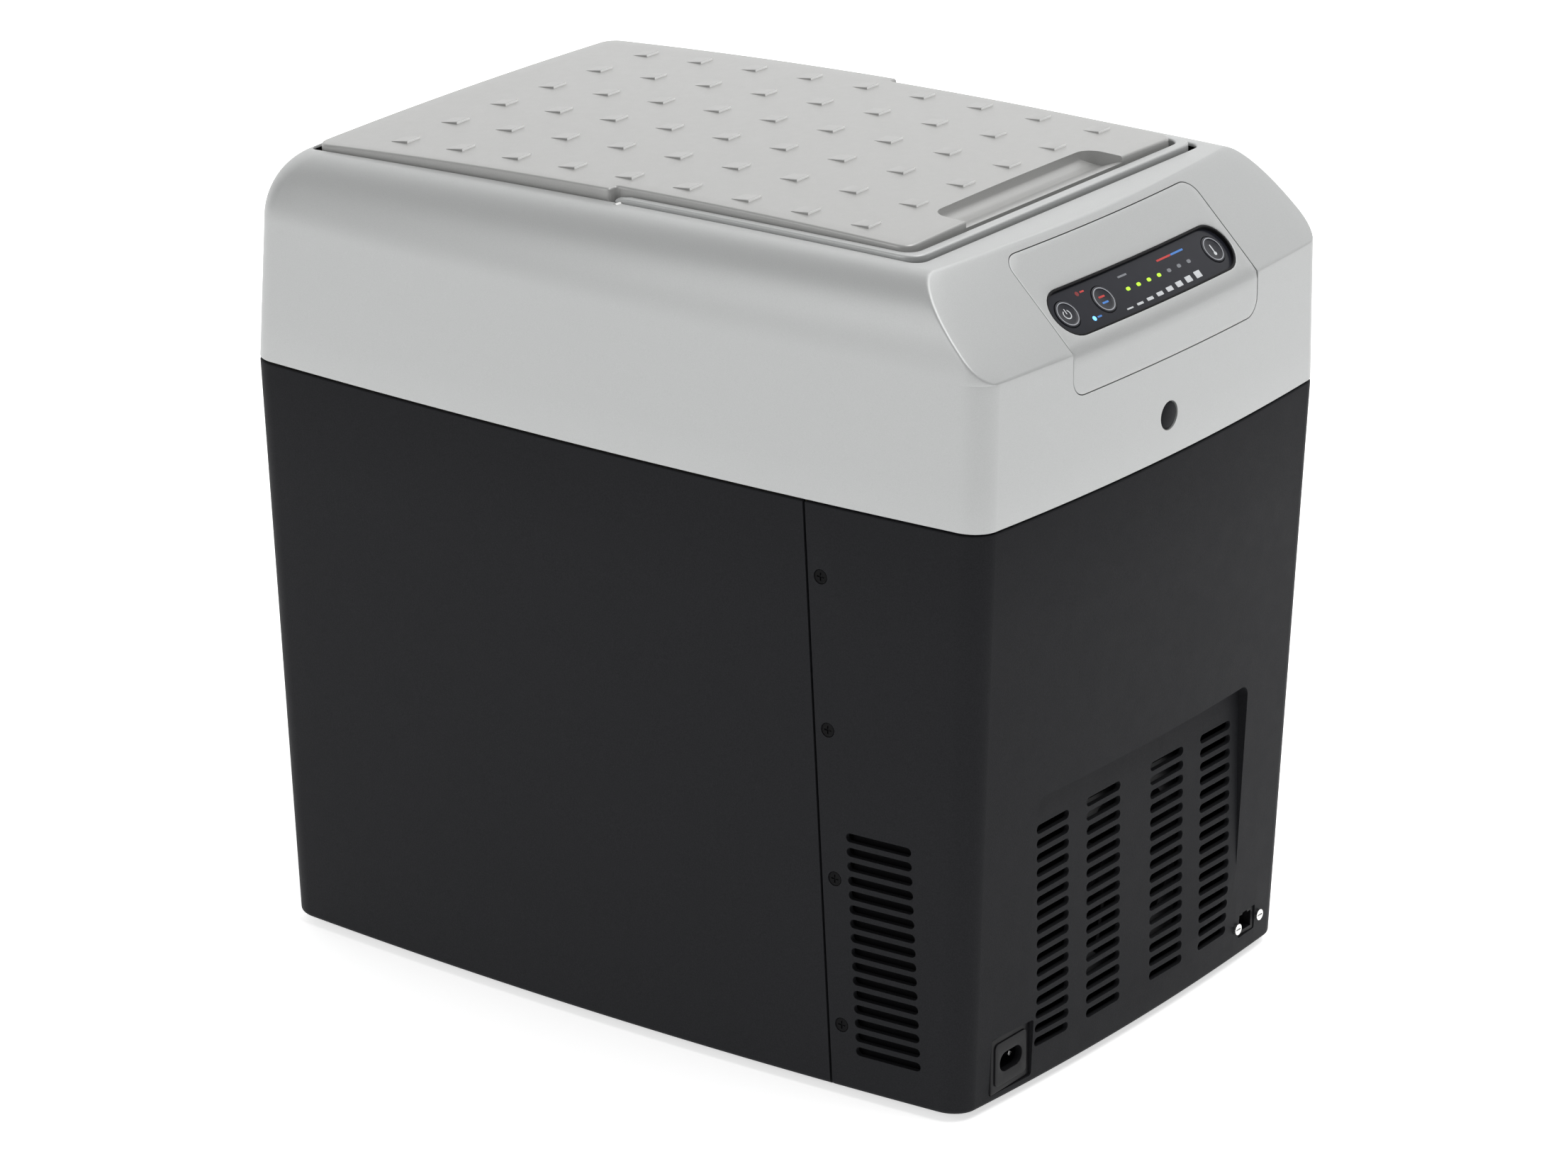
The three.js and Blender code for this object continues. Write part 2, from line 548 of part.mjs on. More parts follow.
function buildFoam() {
  const lowerInset = 2 * (WALL + CLEAR) + CLEAR;
  const ceiling = onDeck(block(-FAR, FAR, -FAR, FAR, -FAR * 2, SEAT - WALL - CLEAR));
  const ahead = block(-FAR, FAR, BULKHEAD_Y + WALL + CLEAR, FAR, -FAR, FAR + 50);
  const narrow = lowerBody(lowerInset, BASE.z + WALL + CLEAR);
  const wide = common(lowerBody(WALL + CLEAR, BASE.z + WALL + CLEAR), behindJoint(WALL + CLEAR));
  const top = upperBody(lowerInset, SEAM.z - 1);
  const tunnel = block(-20.6, 20.6, -FAR, MOUTH.front, UNIT_Z - 20.6, UNIT_Z + 20.6);
  const rearOnly = behindJoint(WALL + CLEAR);
  const clampHoles = clampPlaces().map(([x, z]) => rod('y', 2.4, -150, -125, x, z, 12));
  return cut(common(join(narrow, wide, top, common(upperBody(WALL + CLEAR, SEAM.z - 1), rearOnly)), ahead, ceiling),
    linerPrism(LINER_WALL + CLEAR, LINER_FLOOR - LINER_WALL - CLEAR), tunnel, clampHoles);
}

// ---------------------------------------------------------------- control panel
const panelStadium = (halfX, half, z0, z1) => prism(stadium(halfX, half, 6), z0, z1);

function buildBezel() {
  const plate = common(cut(upperBody(0), upperBody(BEZEL.thick, -FAR)), bezelPrism(0));
  return cut(plate, onPanel(panelStadium(WINDOW.halfX + CLEAR, WINDOW.half + CLEAR, -20, 20), 0, WINDOW.up));
}

const buttonWell = (radius) => Object.values(BUTTONS).map(
  ([x, up]) => onPanel(prism(circle(radius), -12, 12), x, up));

function ledPlaces() {
  const places = [];
  for (let i = 0; i < LEDS.count; i++) places.push([LEDS.firstX + i * LEDS.pitch, LEDS.up]);
  return places;
}

function buildWindow() {
  const layer = cut(upperBody(WINDOW.sunk), upperBody(WINDOW.sunk + WINDOW.thick, -FAR));
  const pane = common(layer, onPanel(panelStadium(WINDOW.halfX, WINDOW.half, -20, 20), 0, WINDOW.up));
  return cut(pane, buttonWell(BUTTON.radius + CLEAR));
}

function buildDisplayBoard() {
  const plate = panelStadium(BOARD.halfX, BOARD.half, -BOARD.thick, 0);
  const chips = [[-30, -3], [0, 3], [28, -3]].map(([x, y]) => shifted(
    block(-6, 6, -3, 3, -BOARD.thick - 1.6, -BOARD.thick + 0.5), x, y, 0));
  return onPanel(join(plate, chips), 0, WINDOW.up, BOARD.depth + 2.2);
}

function buildLevelLeds() {
  const middle = LEDS.firstX + ((LEDS.count - 1) / 2) * LEDS.pitch;
  const half = ((LEDS.count - 1) / 2) * LEDS.pitch + 3;
  const strip = block(middle - half, middle + half, -2, 2, -0.6, 0);
  const domes = ledPlaces().map(([x]) => rod('z', LEDS.radius, -0.3, 0.7, x, 0, 10));
  return onPanel(join(strip, domes), 0, LEDS.up, 5.2);
}

// ---------------------------------------------------------------- lid
function lidOutline(inset) {
  const { halfX, frontX, stepY, front, rear, corner } = LID;
  const wide = halfX - inset;
  const narrow = frontX - inset;
  const radius = Math.max(corner - inset, 1.5);
  const start = front + inset;
  const end = rear - inset;
  const step = stepY + inset;
  return [
    ...arc(wide - radius, end - radius, radius, radius, 0, Math.PI / 2, 3),
    ...arc(radius - wide, end - radius, radius, radius, Math.PI / 2, Math.PI, 3),
    new THREE.Vector2(-wide, step),
    new THREE.Vector2(-narrow, step),
    ...arc(radius - narrow, start + radius, radius, radius, Math.PI, 1.5 * Math.PI, 3),
    ...arc(narrow - radius, start + radius, radius, radius, 1.5 * Math.PI, 2 * Math.PI, 3),
    new THREE.Vector2(narrow, step),
    new THREE.Vector2(wide, step),
  ];
}

function lidTopZ(x, y) {
  const lengthwise = 1 - ((y + 5) / ARCH_SPAN) ** 2;
  const across = 1 - (x / LID.halfX) ** 2;
  return LID_EDGE + arch(y) + LID_CROWN_Y * Math.max(0, lengthwise) + LID_CROWN_X * across;
}

const steps = (from, to, count) => Array.from({ length: count + 1 }, (_, i) => lerp(from, to, i / count));
const LID_XS = steps(-120, 120, 6);
const LID_YS = steps(-160, 200, 10);

function treadPlaces() {
  const places = [];
  for (let row = 0; row < TREAD.rows; row++) {
    for (let column = 0; column < TREAD.columns; column++) {
      const x = (column - (TREAD.columns - 1) / 2) * TREAD.pitchX;
      places.push([x, TREAD.firstY - row * TREAD.pitch]);
    }
  }
  return places;
}

// A ramp that rises towards the front edge of the lid.
function buildTread([x, y]) {
  const half = TREAD.size / 2;
  const z = (at) => lidTopZ(x, at);
  const outline = [
    [y + half, z(y + half) - 0.05],
    [y + half, z(y + half) - 0.8],
    [y - half, z(y - half) - 0.8],
    [y - half, z(y - half) + TREAD.height],
  ].map(([a, b]) => new THREE.Vector2(a, b));
  return sidePrism(outline.reverse(), x - half, x + half);
}

function gripScoop(grow) {
  const top = lidTopZ(0, LID.front) + 8;
  const floor = lidTopZ(0, LID.front) - GRIP.deep - grow;
  const rear = GRIP.rear + grow;
  const outline = [
    new THREE.Vector2(LID.front - 10, floor + GRIP.lip),
    new THREE.Vector2(LID.front + 2, floor + GRIP.lip),
    ...arc(rear - 9, floor + 5, 9, 5, 1.5 * Math.PI, 1.95 * Math.PI, 4),
    new THREE.Vector2(rear, top),
    new THREE.Vector2(LID.front - 10, top),
  ];
  const side = sidePrism(outline, -GRIP.halfX - grow, GRIP.halfX + grow);
  const plan = prism(roundedRectangle(-GRIP.halfX - grow, GRIP.halfX + grow, LID.front - 30, rear, 6), -30, 30);
  return common(side, plan);
}

const hingeBosses = (grow) => [-1, 1].map((side) => block(
  Math.min(side * (109.5 - grow), side * 115.5), Math.max(side * (109.5 - grow), side * 115.5),
  HINGE.y - 5.5 - grow, HINGE.y + 5 + grow, LID_UNDER - grow, 0.5 + grow));

function buildLidTop() {
  const skinDepth = 2.4;
  const plate = common(sheetBlock(LID_XS, LID_YS, () => LID_UNDER, lidTopZ), prism(lidOutline(0), -30, 30));
  const hollow = common(sheetBlock(LID_XS, LID_YS, () => -20, (x, y) => lidTopZ(x, y) - skinDepth),
    prism(lidOutline(skinDepth), -30, 30));
  const housing = common(gripScoop(skinDepth), plate);
  const bosses = common(join(hingeBosses(0)[0], hingeBosses(0)[1]), plate);
  const body = cut(join(cut(plate, hollow), housing, bosses), gripScoop(0));
  return cut(join(body, treadPlaces().map(buildTread)), pinHoles(HINGE.radius + RUNNING, hingeSpot));
}

function buildLidFoam() {
  const inset = 2.7;
  const upper = common(sheetBlock(LID_XS, LID_YS, () => LID_UNDER, (x, y) => lidTopZ(x, y) - inset),
    prism(lidOutline(inset), -30, 30));
  const lower = block(-PLUG.halfX + 3, PLUG.halfX - 3, PLUG.front + 3, PLUG.rear - 3, PLUG.z + 2.3, LID_UNDER + 1);
  return cut(join(upper, lower), gripScoop(inset), hingeBosses(CLEAR));
}

function buildLidInner() {
  const plate = prism(roundedRectangle(-109.5, 109.5, -119, 180, 12), -7.6, LID_UNDER - CLEAR);
  const plug = prism(roundedRectangle(-PLUG.halfX, PLUG.halfX, PLUG.front, PLUG.rear, 12), PLUG.z, -7);
  const tray = block(-PLUG.halfX + 2.7, PLUG.halfX - 2.7, PLUG.front + 2.7, PLUG.rear - 2.7, PLUG.z + 2, 0);
  return cut(join(plate, plug), tray);
}

function buildGasket() {
  const ringAt = (grow) => roundedRectangle(-MOUTH.halfX - grow, MOUTH.halfX + grow,
    MOUTH.front - grow, MOUTH.rear + grow, MOUTH.corner + grow);
  return prism(ringAt(5), -9.3, -7.9, [ringAt(1.4).reverse()]);
}

// ---------------------------------------------------------------- carry handle
function buildHandle() {
  const reach = steps(ARM.pivotY, BAR.front - 1, 6);
  const upperEdge = reach.map((y) => new THREE.Vector2(y, ARM.top + arch(y)));
  const lowerEdge = reach.map((y) => new THREE.Vector2(y, ARM.under + arch(y))).reverse();
  const half = (ARM.top - ARM.under) / 2;
  const round = arc(ARM.pivotY, pivotSpot.z, ARM.endY - ARM.pivotY, half, -Math.PI / 2, Math.PI / 2, 6);
  const side = sidePrism([...round.slice(1, -1), ...upperEdge, ...lowerEdge], -FAR, FAR);
  const outer = roundedRectangle(-ARM.outer, ARM.outer, BAR.front, 60, 10);
  const inner = roundedRectangle(-ARM.inner, ARM.inner, BAR.back, 90, 7);
  const plan = cut(prism(outer, -40, 40), prism(inner, -50, 50));
  return cut(common(side, plan), pinHoles(HINGE.radius + RUNNING, pivotSpot));
}

// ---------------------------------------------------------------- sockets and plug
function buildAcInlet() {
  const face = frontY(AC.x, AC.z) + 1.6;
  const plate = block(-AC.halfX + CLEAR, AC.halfX - CLEAR, face, face + 3, -AC.halfZ + CLEAR, AC.halfZ - CLEAR);
  const body = block(-12, 12, face + 2, face + 23, -11, 11);
  const eight = join(rod('y', 4.7, face - 5, face + 12, -AC.pinX, 0), rod('y', 4.7, face - 5, face + 12, AC.pinX, 0),
    block(-AC.pinX, AC.pinX, face - 5, face + 12, -3.4, 3.4));
  const bores = [-1, 1].map((s) => rod('y', 1.5, face, face + 30, s * AC.pinX, 0, 12));
  return shifted(cut(join(plate, body), eight, bores), AC.x, 0, AC.z);
}

function buildAcPin(side) {
  const face = frontY(AC.x, AC.z) + 1.6;
  return rod('y', 1.2, face + 2.5, face + 25, AC.x + side * AC.pinX, AC.z, 12);
}

function buildDcSocket() {
  const face = frontY(DC.x, DC.z) + 1.2;
  const rim = block(-DC.halfX + CLEAR, DC.halfX - CLEAR, face, face + 6, -DC.halfZ + CLEAR, DC.halfZ - CLEAR);
  const body = block(-DC.halfX + 1, DC.halfX - 1, face + 5, face + 24, -DC.halfZ + 0.8, DC.halfZ - 0.8);
  const ear = block(-15, 15, face + 5.5, face + 8, -5, 5);
  const cavity = block(-5.6, 5.6, face - 5, face + 16, -4.2, 4.2);
  const key = block(-2, 2, face - 5, face + 16, 4, 5.2);
  const bores = [-1, 1].map((s) => rod('y', 1.9, face, face + 30, s * DC.screwX, 0, 12));
  const slits = [-1, 1].map((s) => block(s * 2.8 - 0.7, s * 2.8 + 0.7, face + 10, face + 30, -2.5, 2.5));
  return shifted(cut(join(rim, body, ear), cavity, key, bores, slits), DC.x, 0, DC.z);
}

function buildDcBlade(side) {
  const face = frontY(DC.x, DC.z) + 1.2;
  return block(DC.x + side * 2.8 - 0.4, DC.x + side * 2.8 + 0.4, face + 5, face + 26, DC.z - 2.2, DC.z + 2.2);
}

function buildDcScrew(side) {
  const x = DC.x + side * DC.screwX;
  const face = frontY(x, DC.z);
  const head = rod('y', 2.9, face - 1.7, face - CLEAR, x, DC.z, 14);
  const shank = rod('y', 1.6, face - 0.5, face + 13, x, DC.z, 12);
  const slot = block(x - 2, x + 2, face - 3, face - 1.1, DC.z - 0.4, DC.z + 0.4);
  return cut(join(head, shank), slot);
}

function buildFrontPlug() {
  const { radius, stem } = FRONT_PLUG;
  const length = 6;
  const profile = [[0, 0], [stem, 0], [stem, length], [radius, length], [radius, length + 0.6],
    [radius - 1, length + 1.1], [radius / 2, length + 1.4], [0, length + 1.5]];
  const turned = new THREE.LatheGeometry(profile.map(([r, h]) => new THREE.Vector2(r, h)), 20);
  return shifted(turned.rotateX(Math.PI), 0, plugSeat - CLEAR + length, FRONT_PLUG.z);
}

// ---------------------------------------------------------------- thermoelectric unit
function clampPlaces() {
  const gap = finGap();
  return [[-6.5 * gap, UNIT_Z - 38], [6.5 * gap, UNIT_Z + 38]].map(([x, z]) => [x + gap / 2, z]);
}

const finGap = () => (2 * SINK.halfX - 1.4) / (SINK.fins - 1);

// A plate in the XZ plane with fins that stand towards +Y or -Y.
function buildHeatsink({ halfX, low, high, fins }, plateBack, plateFront, finEnd, thickness) {
  const parts = [block(-halfX, halfX, Math.min(plateBack, plateFront), Math.max(plateBack, plateFront), low, high)];
  const gap = (2 * halfX - thickness) / (fins - 1);
  for (let i = 0; i < fins; i++) {
    const x = -halfX + i * gap;
    parts.push(block(x, x + thickness, Math.min(plateBack, finEnd), Math.max(plateBack, finEnd), low, high));
  }
  return join(parts[0], parts.slice(1));
}

function buildHotSink() {
  const sink = buildHeatsink(SINK, SINK.back, SINK.back - SINK.base, -SINK.depth, 1.4);
  return cut(sink, clampPlaces().map(([x, z]) => rod('y', 2.1, -200, -140, x, z, 12)));
}

function buildColdSink() {
  return buildHeatsink(COLD_SINK, MOUTH.front + CLEAR, MOUTH.front + 4, COLD_FAN.front - 0.6, 1.2);
}

function buildClampScrew([x, z]) {
  const seat = SINK.back - SINK.base - CLEAR;
  return join(rod('y', 2.4, seat - 2.4, seat, x, z, 12), rod('y', 1.7, seat - 0.5, -127, x, z, 12));
}

function buildFanFrame(fan) {
  const { half, front, back, bore, hub } = fan;
  const hole = circle(bore, 24).reverse();
  const depth = back - front;
  const ringPart = prism(roundedRectangle(-half, half, -half, half, 4), 0, depth, [hole]);
  const hubDisc = prism(circle(hub, 16), 0, 3);
  const spokes = [0, 1, 2, 3].map((i) => moved(block(0, bore + 1, -1.5, 1.5, 0, 3),
    new THREE.Matrix4().makeRotationZ(Math.PI / 4 + (i * Math.PI) / 2)));
  return placeFan(join(ringPart, hubDisc, spokes), back);
}

function buildFanRotor(fan) {
  const { front, back, bore, hub, blades } = fan;
  const depth = back - front;
  const barrel = prism(circle(hub - 0.5, 16), 3.6, depth - 2);
  const reach = bore - 1.5;
  const parts = [];
  for (let i = 0; i < blades; i++) {
    const blade = block(hub - 2, reach, -0.7, 0.7, -depth * 0.42, depth * 0.42);
    const pitched = blade.rotateX(0.75);
    const turn = new THREE.Matrix4().makeRotationZ((2 * Math.PI * i) / blades);
    parts.push(moved(shifted(pitched, 0, 0, depth / 2 + 1), turn));
  }
  const envelope = prism(circle(reach, 24), 3.8, depth - 1);
  return placeFan(join(barrel, common(join(parts[0], parts.slice(1)), envelope)), back);
}

// Fans are drawn flat with their back at Z = 0, then stood up so that Z points towards the front.
function placeFan(geometry, back) {
  return shifted(moved(geometry, new THREE.Matrix4().makeRotationX(Math.PI / 2)), 0, back, UNIT_Z);
}

function buildColdGrille() {
  const outer = block(-50, 50, MOUTH.front + CLEAR, -66.5, UNIT_Z - 38, UNIT_Z + 50);
  const inner = block(-48, 48, MOUTH.front - 1, -68.5, UNIT_Z - 36, UNIT_Z + 48);
  const vents = steps(UNIT_Z - 28, UNIT_Z + 28, 6).map((z) => block(-32, 32, -75, -60, z - 2, z + 2));
  const outlets = steps(-36, 36, 4).map((x) => block(x - 5, x + 5, -98, -76, UNIT_Z + 40, UNIT_Z + 60));
  return cut(outer, inner, vents, outlets);
}

// ---------------------------------------------------------------- electrics
function buildPowerSupply() {
  const box = block(-112, -12, -203, -152, 168, 214);
  const slits = steps(-100, -24, 7).map((x) => block(x - 1.5, x + 1.5, -193, -162, 211, 220));
  const tabs = [block(-112, -96, -152.5, BULKHEAD_Y - CLEAR, 168, 170.5), block(-28, -12, -152.5,
    BULKHEAD_Y - CLEAR, 168, 170.5)];
  return cut(join(box, tabs), slits);
}

function buildControlBoard() {
  const board = block(10, 116, -160, -158.4, 165, 236);
  const coil = block(22, 46, -176, -159.5, 172, 196);
  const cans = [[62, 180], [78, 180]].map(([x, z]) => rod('y', 6, -178, -159.5, x, z, 14));
  const chip = block(54, 74, -162, -159.5, 206, 222);
  const header = block(20, 44, -166, -159.5, 222, 230);
  const standoffs = [[16, 170], [110, 170], [16, 230], [110, 230]].map(
    ([x, z]) => rod('y', 3, -158.6, BULKHEAD_Y - CLEAR, x, z, 10));
  return join(board, coil, cans, chip, header, standoffs);
}

function wire(points, radius) {
  const path = new THREE.CatmullRomCurve3(points.map((p) => new THREE.Vector3(...p)));
  const section = new THREE.Shape(circle(radius, 8));
  return new THREE.ExtrudeGeometry(section, { steps: 16, extrudePath: path, bevelEnabled: false });
}

function buildRibbon() {
  const line = [[-205, 372], [-196, 350], [-178, 300], [-170, 262], [-170, 235]];
  const front = line.map(([y, z]) => new THREE.Vector2(y, z));
  const back = line.map(([y, z]) => new THREE.Vector2(y + 0.8, z)).reverse();
  return sidePrism([...back, ...front], 24, 40);
}

// ---------------------------------------------------------------- assembly
add(cooler, 'lower_casing', buildLowerCasing(), 'charcoal');
add(cooler, 'machine_cover', buildMachineCover(), 'charcoal');
add(cooler, 'upper_casing', buildUpperCasing(), 'silver');
add(cooler, 'inner_liner', buildLiner(), 'liner');
add(cooler, 'foam_insulation', buildFoam(), 'foam');

for (const [name, x, y] of [['front_left', -1, FEET.front], ['front_right', 1, FEET.front],
  ['rear_left', -1, FEET.rear], ['rear_right', 1, FEET.rear]]) {
  add(cooler, `foot_${name}`, rod('z', FEET.radius, 0, BASE.z - CLEAR, x * FEET.x, y, 20), 'rubber');
}

for (const [sideName, side] of [['left', -1], ['right', 1]]) {
  screwPlaces().forEach((place, i) => {
    add(cooler, `cover_screw_${sideName}_${i + 1}`, buildCoverScrew(side, place), 'blackSteel');
  });
}

add(cooler, 'control_bezel', buildBezel(), 'silver');
add(cooler, 'display_window', buildWindow(), 'lens');
add(cooler, 'display_board', buildDisplayBoard(), 'board');
add(cooler, 'level_leds', buildLevelLeds(), 'ledGreen');
for (const [name, up, finish] of [['cool_led', MODE_LED.coolUp, 'ledBlue'], ['heat_led', MODE_LED.heatUp, 'ledRed']]) {
  add(cooler, name, onPanel(prism(circle(1.5, 10), -0.6, 0.7), MODE_LED.x, up, 5.2), finish);
}
for (const [name, [x, up]] of Object.entries(BUTTONS)) {
  const cap = prism(circle(BUTTON.radius), -BUTTON.height, 0);
  add(cooler, name, onPanel(cap, x, up, WINDOW.sunk - BUTTON.proud), 'lens');
}

add(cooler, 'front_plug', buildFrontPlug(), 'rubber');
add(cooler, 'ac_inlet', buildAcInlet(), 'black');
add(cooler, 'dc_socket', buildDcSocket(), 'black');
for (const [sideName, side] of [['left', -1], ['right', 1]]) {
  add(cooler, `ac_pin_${sideName}`, buildAcPin(side), 'steel');
  add(cooler, `dc_blade_${sideName}`, buildDcBlade(side), 'steel');
  add(cooler, `dc_screw_${sideName}`, buildDcScrew(side), 'steel');
}

add(cooler, 'hot_heatsink', buildHotSink(), 'aluminium');
clampPlaces().forEach((place, i) => add(cooler, `clamp_screw_${i + 1}`, buildClampScrew(place), 'steel'));
add(cooler, 'peltier_module', block(-20, 20, -140.9, -137.4, UNIT_Z - 20, UNIT_Z + 20), 'ceramic');
add(cooler, 'cold_block', block(-20, 20, -137.1, MOUTH.front, UNIT_Z - 20, UNIT_Z + 20), 'aluminium');
add(cooler, 'cold_heatsink', buildColdSink(), 'aluminium');
add(cooler, 'hot_fan_frame', buildFanFrame(HOT_FAN), 'black');
add(cooler, 'hot_fan_rotor', buildFanRotor(HOT_FAN), 'black');
add(cooler, 'cold_fan_frame', buildFanFrame(COLD_FAN), 'black');
add(cooler, 'cold_fan_rotor', buildFanRotor(COLD_FAN), 'black');
add(cooler, 'cold_fan_cover', buildColdGrille(), 'liner');

add(cooler, 'power_supply', buildPowerSupply(), 'aluminium');
add(cooler, 'control_board', buildControlBoard(), 'board');
add(cooler, 'mains_lead', wire([[-101.5, -183.8, 23], [-101.5, -176, 26], [-101, -172, 50], [-100, -172, 120],
  [-100, -172, 167.6]], 3), 'rubber');
add(cooler, 'fan_lead', wire([[60, -166, 164.6], [60, -172, 156], [57, -184, 140], [50, -190, 126],
  [48.2, -191, 118]], 1.6), 'rubber');
add(cooler, 'display_ribbon', buildRibbon(), 'ceramic');

add(deck, 'lid_top', buildLidTop(), 'silver');
add(deck, 'lid_foam', buildLidFoam(), 'foam');
add(deck, 'lid_inner', buildLidInner(), 'liner');
add(deck, 'lid_gasket', buildGasket(), 'rubber');
add(deck, 'carry_handle', buildHandle(), 'silver');
for (const [sideName, side] of [['left', -1], ['right', 1]]) {
  const [from, to] = side > 0 ? [HINGE.inner, HINGE.outer] : [-HINGE.outer, -HINGE.inner];
  add(deck, `lid_hinge_pin_${sideName}`, rod('x', HINGE.radius, from, to, HINGE.y, HINGE.z, 12), 'steel');
  add(deck, `handle_pin_${sideName}`, rod('x', HINGE.radius, from, to, pivotSpot.y, pivotSpot.z, 12), 'steel');
}

export default cooler;
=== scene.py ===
"""Visual model of a portable cooler box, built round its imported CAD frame.

Lengths are millimetres until a mesh is made. X runs across the box, Y along it
towards the lid hinge, and Z up; the control panel faces -Y.
"""
import math

import bmesh
import bpy
import numpy as np
from mathutils import Matrix, Vector
from mathutils.geometry import delaunay_2d_cdt


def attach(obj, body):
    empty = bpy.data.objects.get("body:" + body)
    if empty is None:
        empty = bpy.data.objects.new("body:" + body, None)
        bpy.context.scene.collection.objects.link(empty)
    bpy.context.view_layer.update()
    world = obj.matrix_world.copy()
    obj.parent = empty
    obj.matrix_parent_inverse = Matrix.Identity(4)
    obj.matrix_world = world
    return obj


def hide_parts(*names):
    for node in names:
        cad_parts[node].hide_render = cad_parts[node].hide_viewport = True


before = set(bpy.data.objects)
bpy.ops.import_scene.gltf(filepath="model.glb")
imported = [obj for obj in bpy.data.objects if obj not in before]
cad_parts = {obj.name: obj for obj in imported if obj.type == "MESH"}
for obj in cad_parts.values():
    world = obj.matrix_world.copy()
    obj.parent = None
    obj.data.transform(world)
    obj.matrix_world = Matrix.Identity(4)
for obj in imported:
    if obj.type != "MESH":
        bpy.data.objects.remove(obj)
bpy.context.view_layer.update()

MM = 0.001
FAR = 400.0
FORWARD = Matrix.Rotation(math.radians(90), 4, "X")  # turns Z to -Y
SIDEWAYS = Matrix(((0, 0, 1, 0), (1, 0, 0, 0), (0, 1, 0, 0), (0, 0, 0, 1)))  # turns Z to X

# Casing: plan sizes at four heights, from the CAD.
CORNER = 13.0
WALL = 2.6
FOOT_EDGE = 2.5
LIP_EDGE = 0.8
BASE = dict(z=4.0, half_x=146.5, front=212.0, rear=212.0, bow_x=8.5, bow_y=6.5)
SEAM = dict(z=299.0, half_x=151.5, front=225.0, rear=225.0, bow_x=8.0, bow_y=8.0)
SHOULDER = dict(z=370.0, half_x=149.5, front=225.0, rear=221.0, bow_x=7.5, bow_y=8.0)
RIM = dict(half_x=122.0, front=181.0, rear=203.0, bow_x=3.0, bow_y=7.0)
SIDE_POINTS, CORNER_POINTS, END_POINTS = 14, 9, 12
SIDE_SAMPLES, CORNER_SAMPLES = 40, 36
SEAM_GAP = 0.45
LOWER_TOP = SEAM["z"] - SEAM_GAP
EDGE_CUT = 1.6  # rounding of the crisp edge beside the sloping panel
EDGE_TRIM = 2.4  # where the rounding below the shoulder starts and ends
RIM_TRIM = 2.2  # the same at the rim
ROLL_STEPS = 60
HOLLOW_STEPS = (0, 12, 22, 32, 42, 50, 56, 60)
RIM_BAND = 20.0

# Deck: the frame of rim, lid and handle.
DECK_Z = 408.0
DECK_FALL = 0.024
RIM_ARCH = 2.5
ARCH_SPAN = 200.0
SEAT = -11.5
RECESS = dict(half_x=117.5, front=164.0, rear=200.3, corner=6.0)
RECESS_LIP = 1.2
MOUTH = dict(half_x=104.0, front=107.0, rear=174.0, corner=14.0)
MOUTH_GROW = 2.3

LID = dict(half_x=116.7, front_x=110.9, step_y=15.0, front=-153.4, rear=196.6, corner=8.0)
LID_STEP_TURN = 1.6
LID_UNDER = -5.6
LID_EDGE = 2.6
LID_CROWN_Y = 3.0
LID_CROWN_X = 1.6
LID_MIDDLE = -5.0
LID_SKIN = 2.4
UNDERSIDE = 100.0  # depth that stands for a flat underside, wherever the top is
TREAD = dict(rows=9, columns=6, pitch=34.4, pitch_x=38.0, first_y=157.0, size=10.0, height=1.2,
             soft=0.35, buried=0.9)
GRIP = dict(half_x=65.0, rear=-133.0, deep=7.0, lip=3.4, corner=9.0)
ARM = dict(inner=111.8, outer=116.8, top=2.0, under=-5.0, pivot_y=8.0, end_y=12.5, end_cut=1.2)
BAR = dict(front=-161.8, back=-156.0, outer_r=10.0, inner_r=7.0)

COVER_Y = -134.6
COVER_LEAN = 0.0425
JOINT_GAP = 0.65
SCREW = dict(heights=(37, 112, 187, 263), setback=7.5, head=3.4, sunk=1.2)
SLOT = dict(height=4.6, pitch=7.3, count=16, lowest=24.5)
FRONT_COLUMNS = ((27.5, 29.0), (70.5, 27.0))
SIDE_SLOT = dict(length=36.0, setback=33.0)
POCKET = dict(half_x=91.0, bottom=14.0, top=154.0, depth=8.5, corner=6.0)
BULKHEAD = (-141, -138.4)
FAN_WINDOW = [(-22, 63), (22, 63), (22, 107), (-22, 107)]
VENT_SCREEN = [(-197, 18), (-146, 18), (-146, 148), (-197, 148)]

SLOPE_LENGTH = 61.38
FOLD = 2.4  # half width of the rounded fold between the front face and the slope
BEZEL = dict(half_x=78.0, low=-21.0, high=56.0, corner=9.0)
WINDOW = dict(half_x=73.6, up=20.0, half=12.8, sunk=2.2, thick=1.4)
BUTTONS = (("power_button", "power_key", -61.5), ("mode_button", "mode_key", -33.0),
           ("temperature_button", "temperature_key", 61.5))
BUTTON = dict(up=20.0, radius=7.2, height=2.3, proud=0.5, rim=1.0, gap=0.35)
LEDS = dict(count=7, lit=4, first_x=-13.0, pitch=8.7, up=20.0)
STEP_BARS = dict(count=8, first_x=-20.6, last_x=39.0, low=10.6)
FRONT_PLUG = dict(z=320.0, radius=6.7, sunk=1.6, edge=0.7, crown=1.3)
AC = dict(x=-101.5, z=23.0, half_x=16.2, half_z=14.7, corner=1.5, pin_x=4.3)
DC = dict(x=106.0, z=20.5, half_x=8.0, half_z=6.5, corner=1.0)

CAMERA_TURN = math.radians(-53.55)


def lerp(a, b, t):
    return a + (b - a) * t


def quarter_turn(steps):
    return [math.pi / 2 * i / steps for i in range(steps + 1)]


def transform(points, matrix):
    m = np.array(matrix)
    return np.asarray(points, float) @ m[:3, :3].T + m[:3, 3]


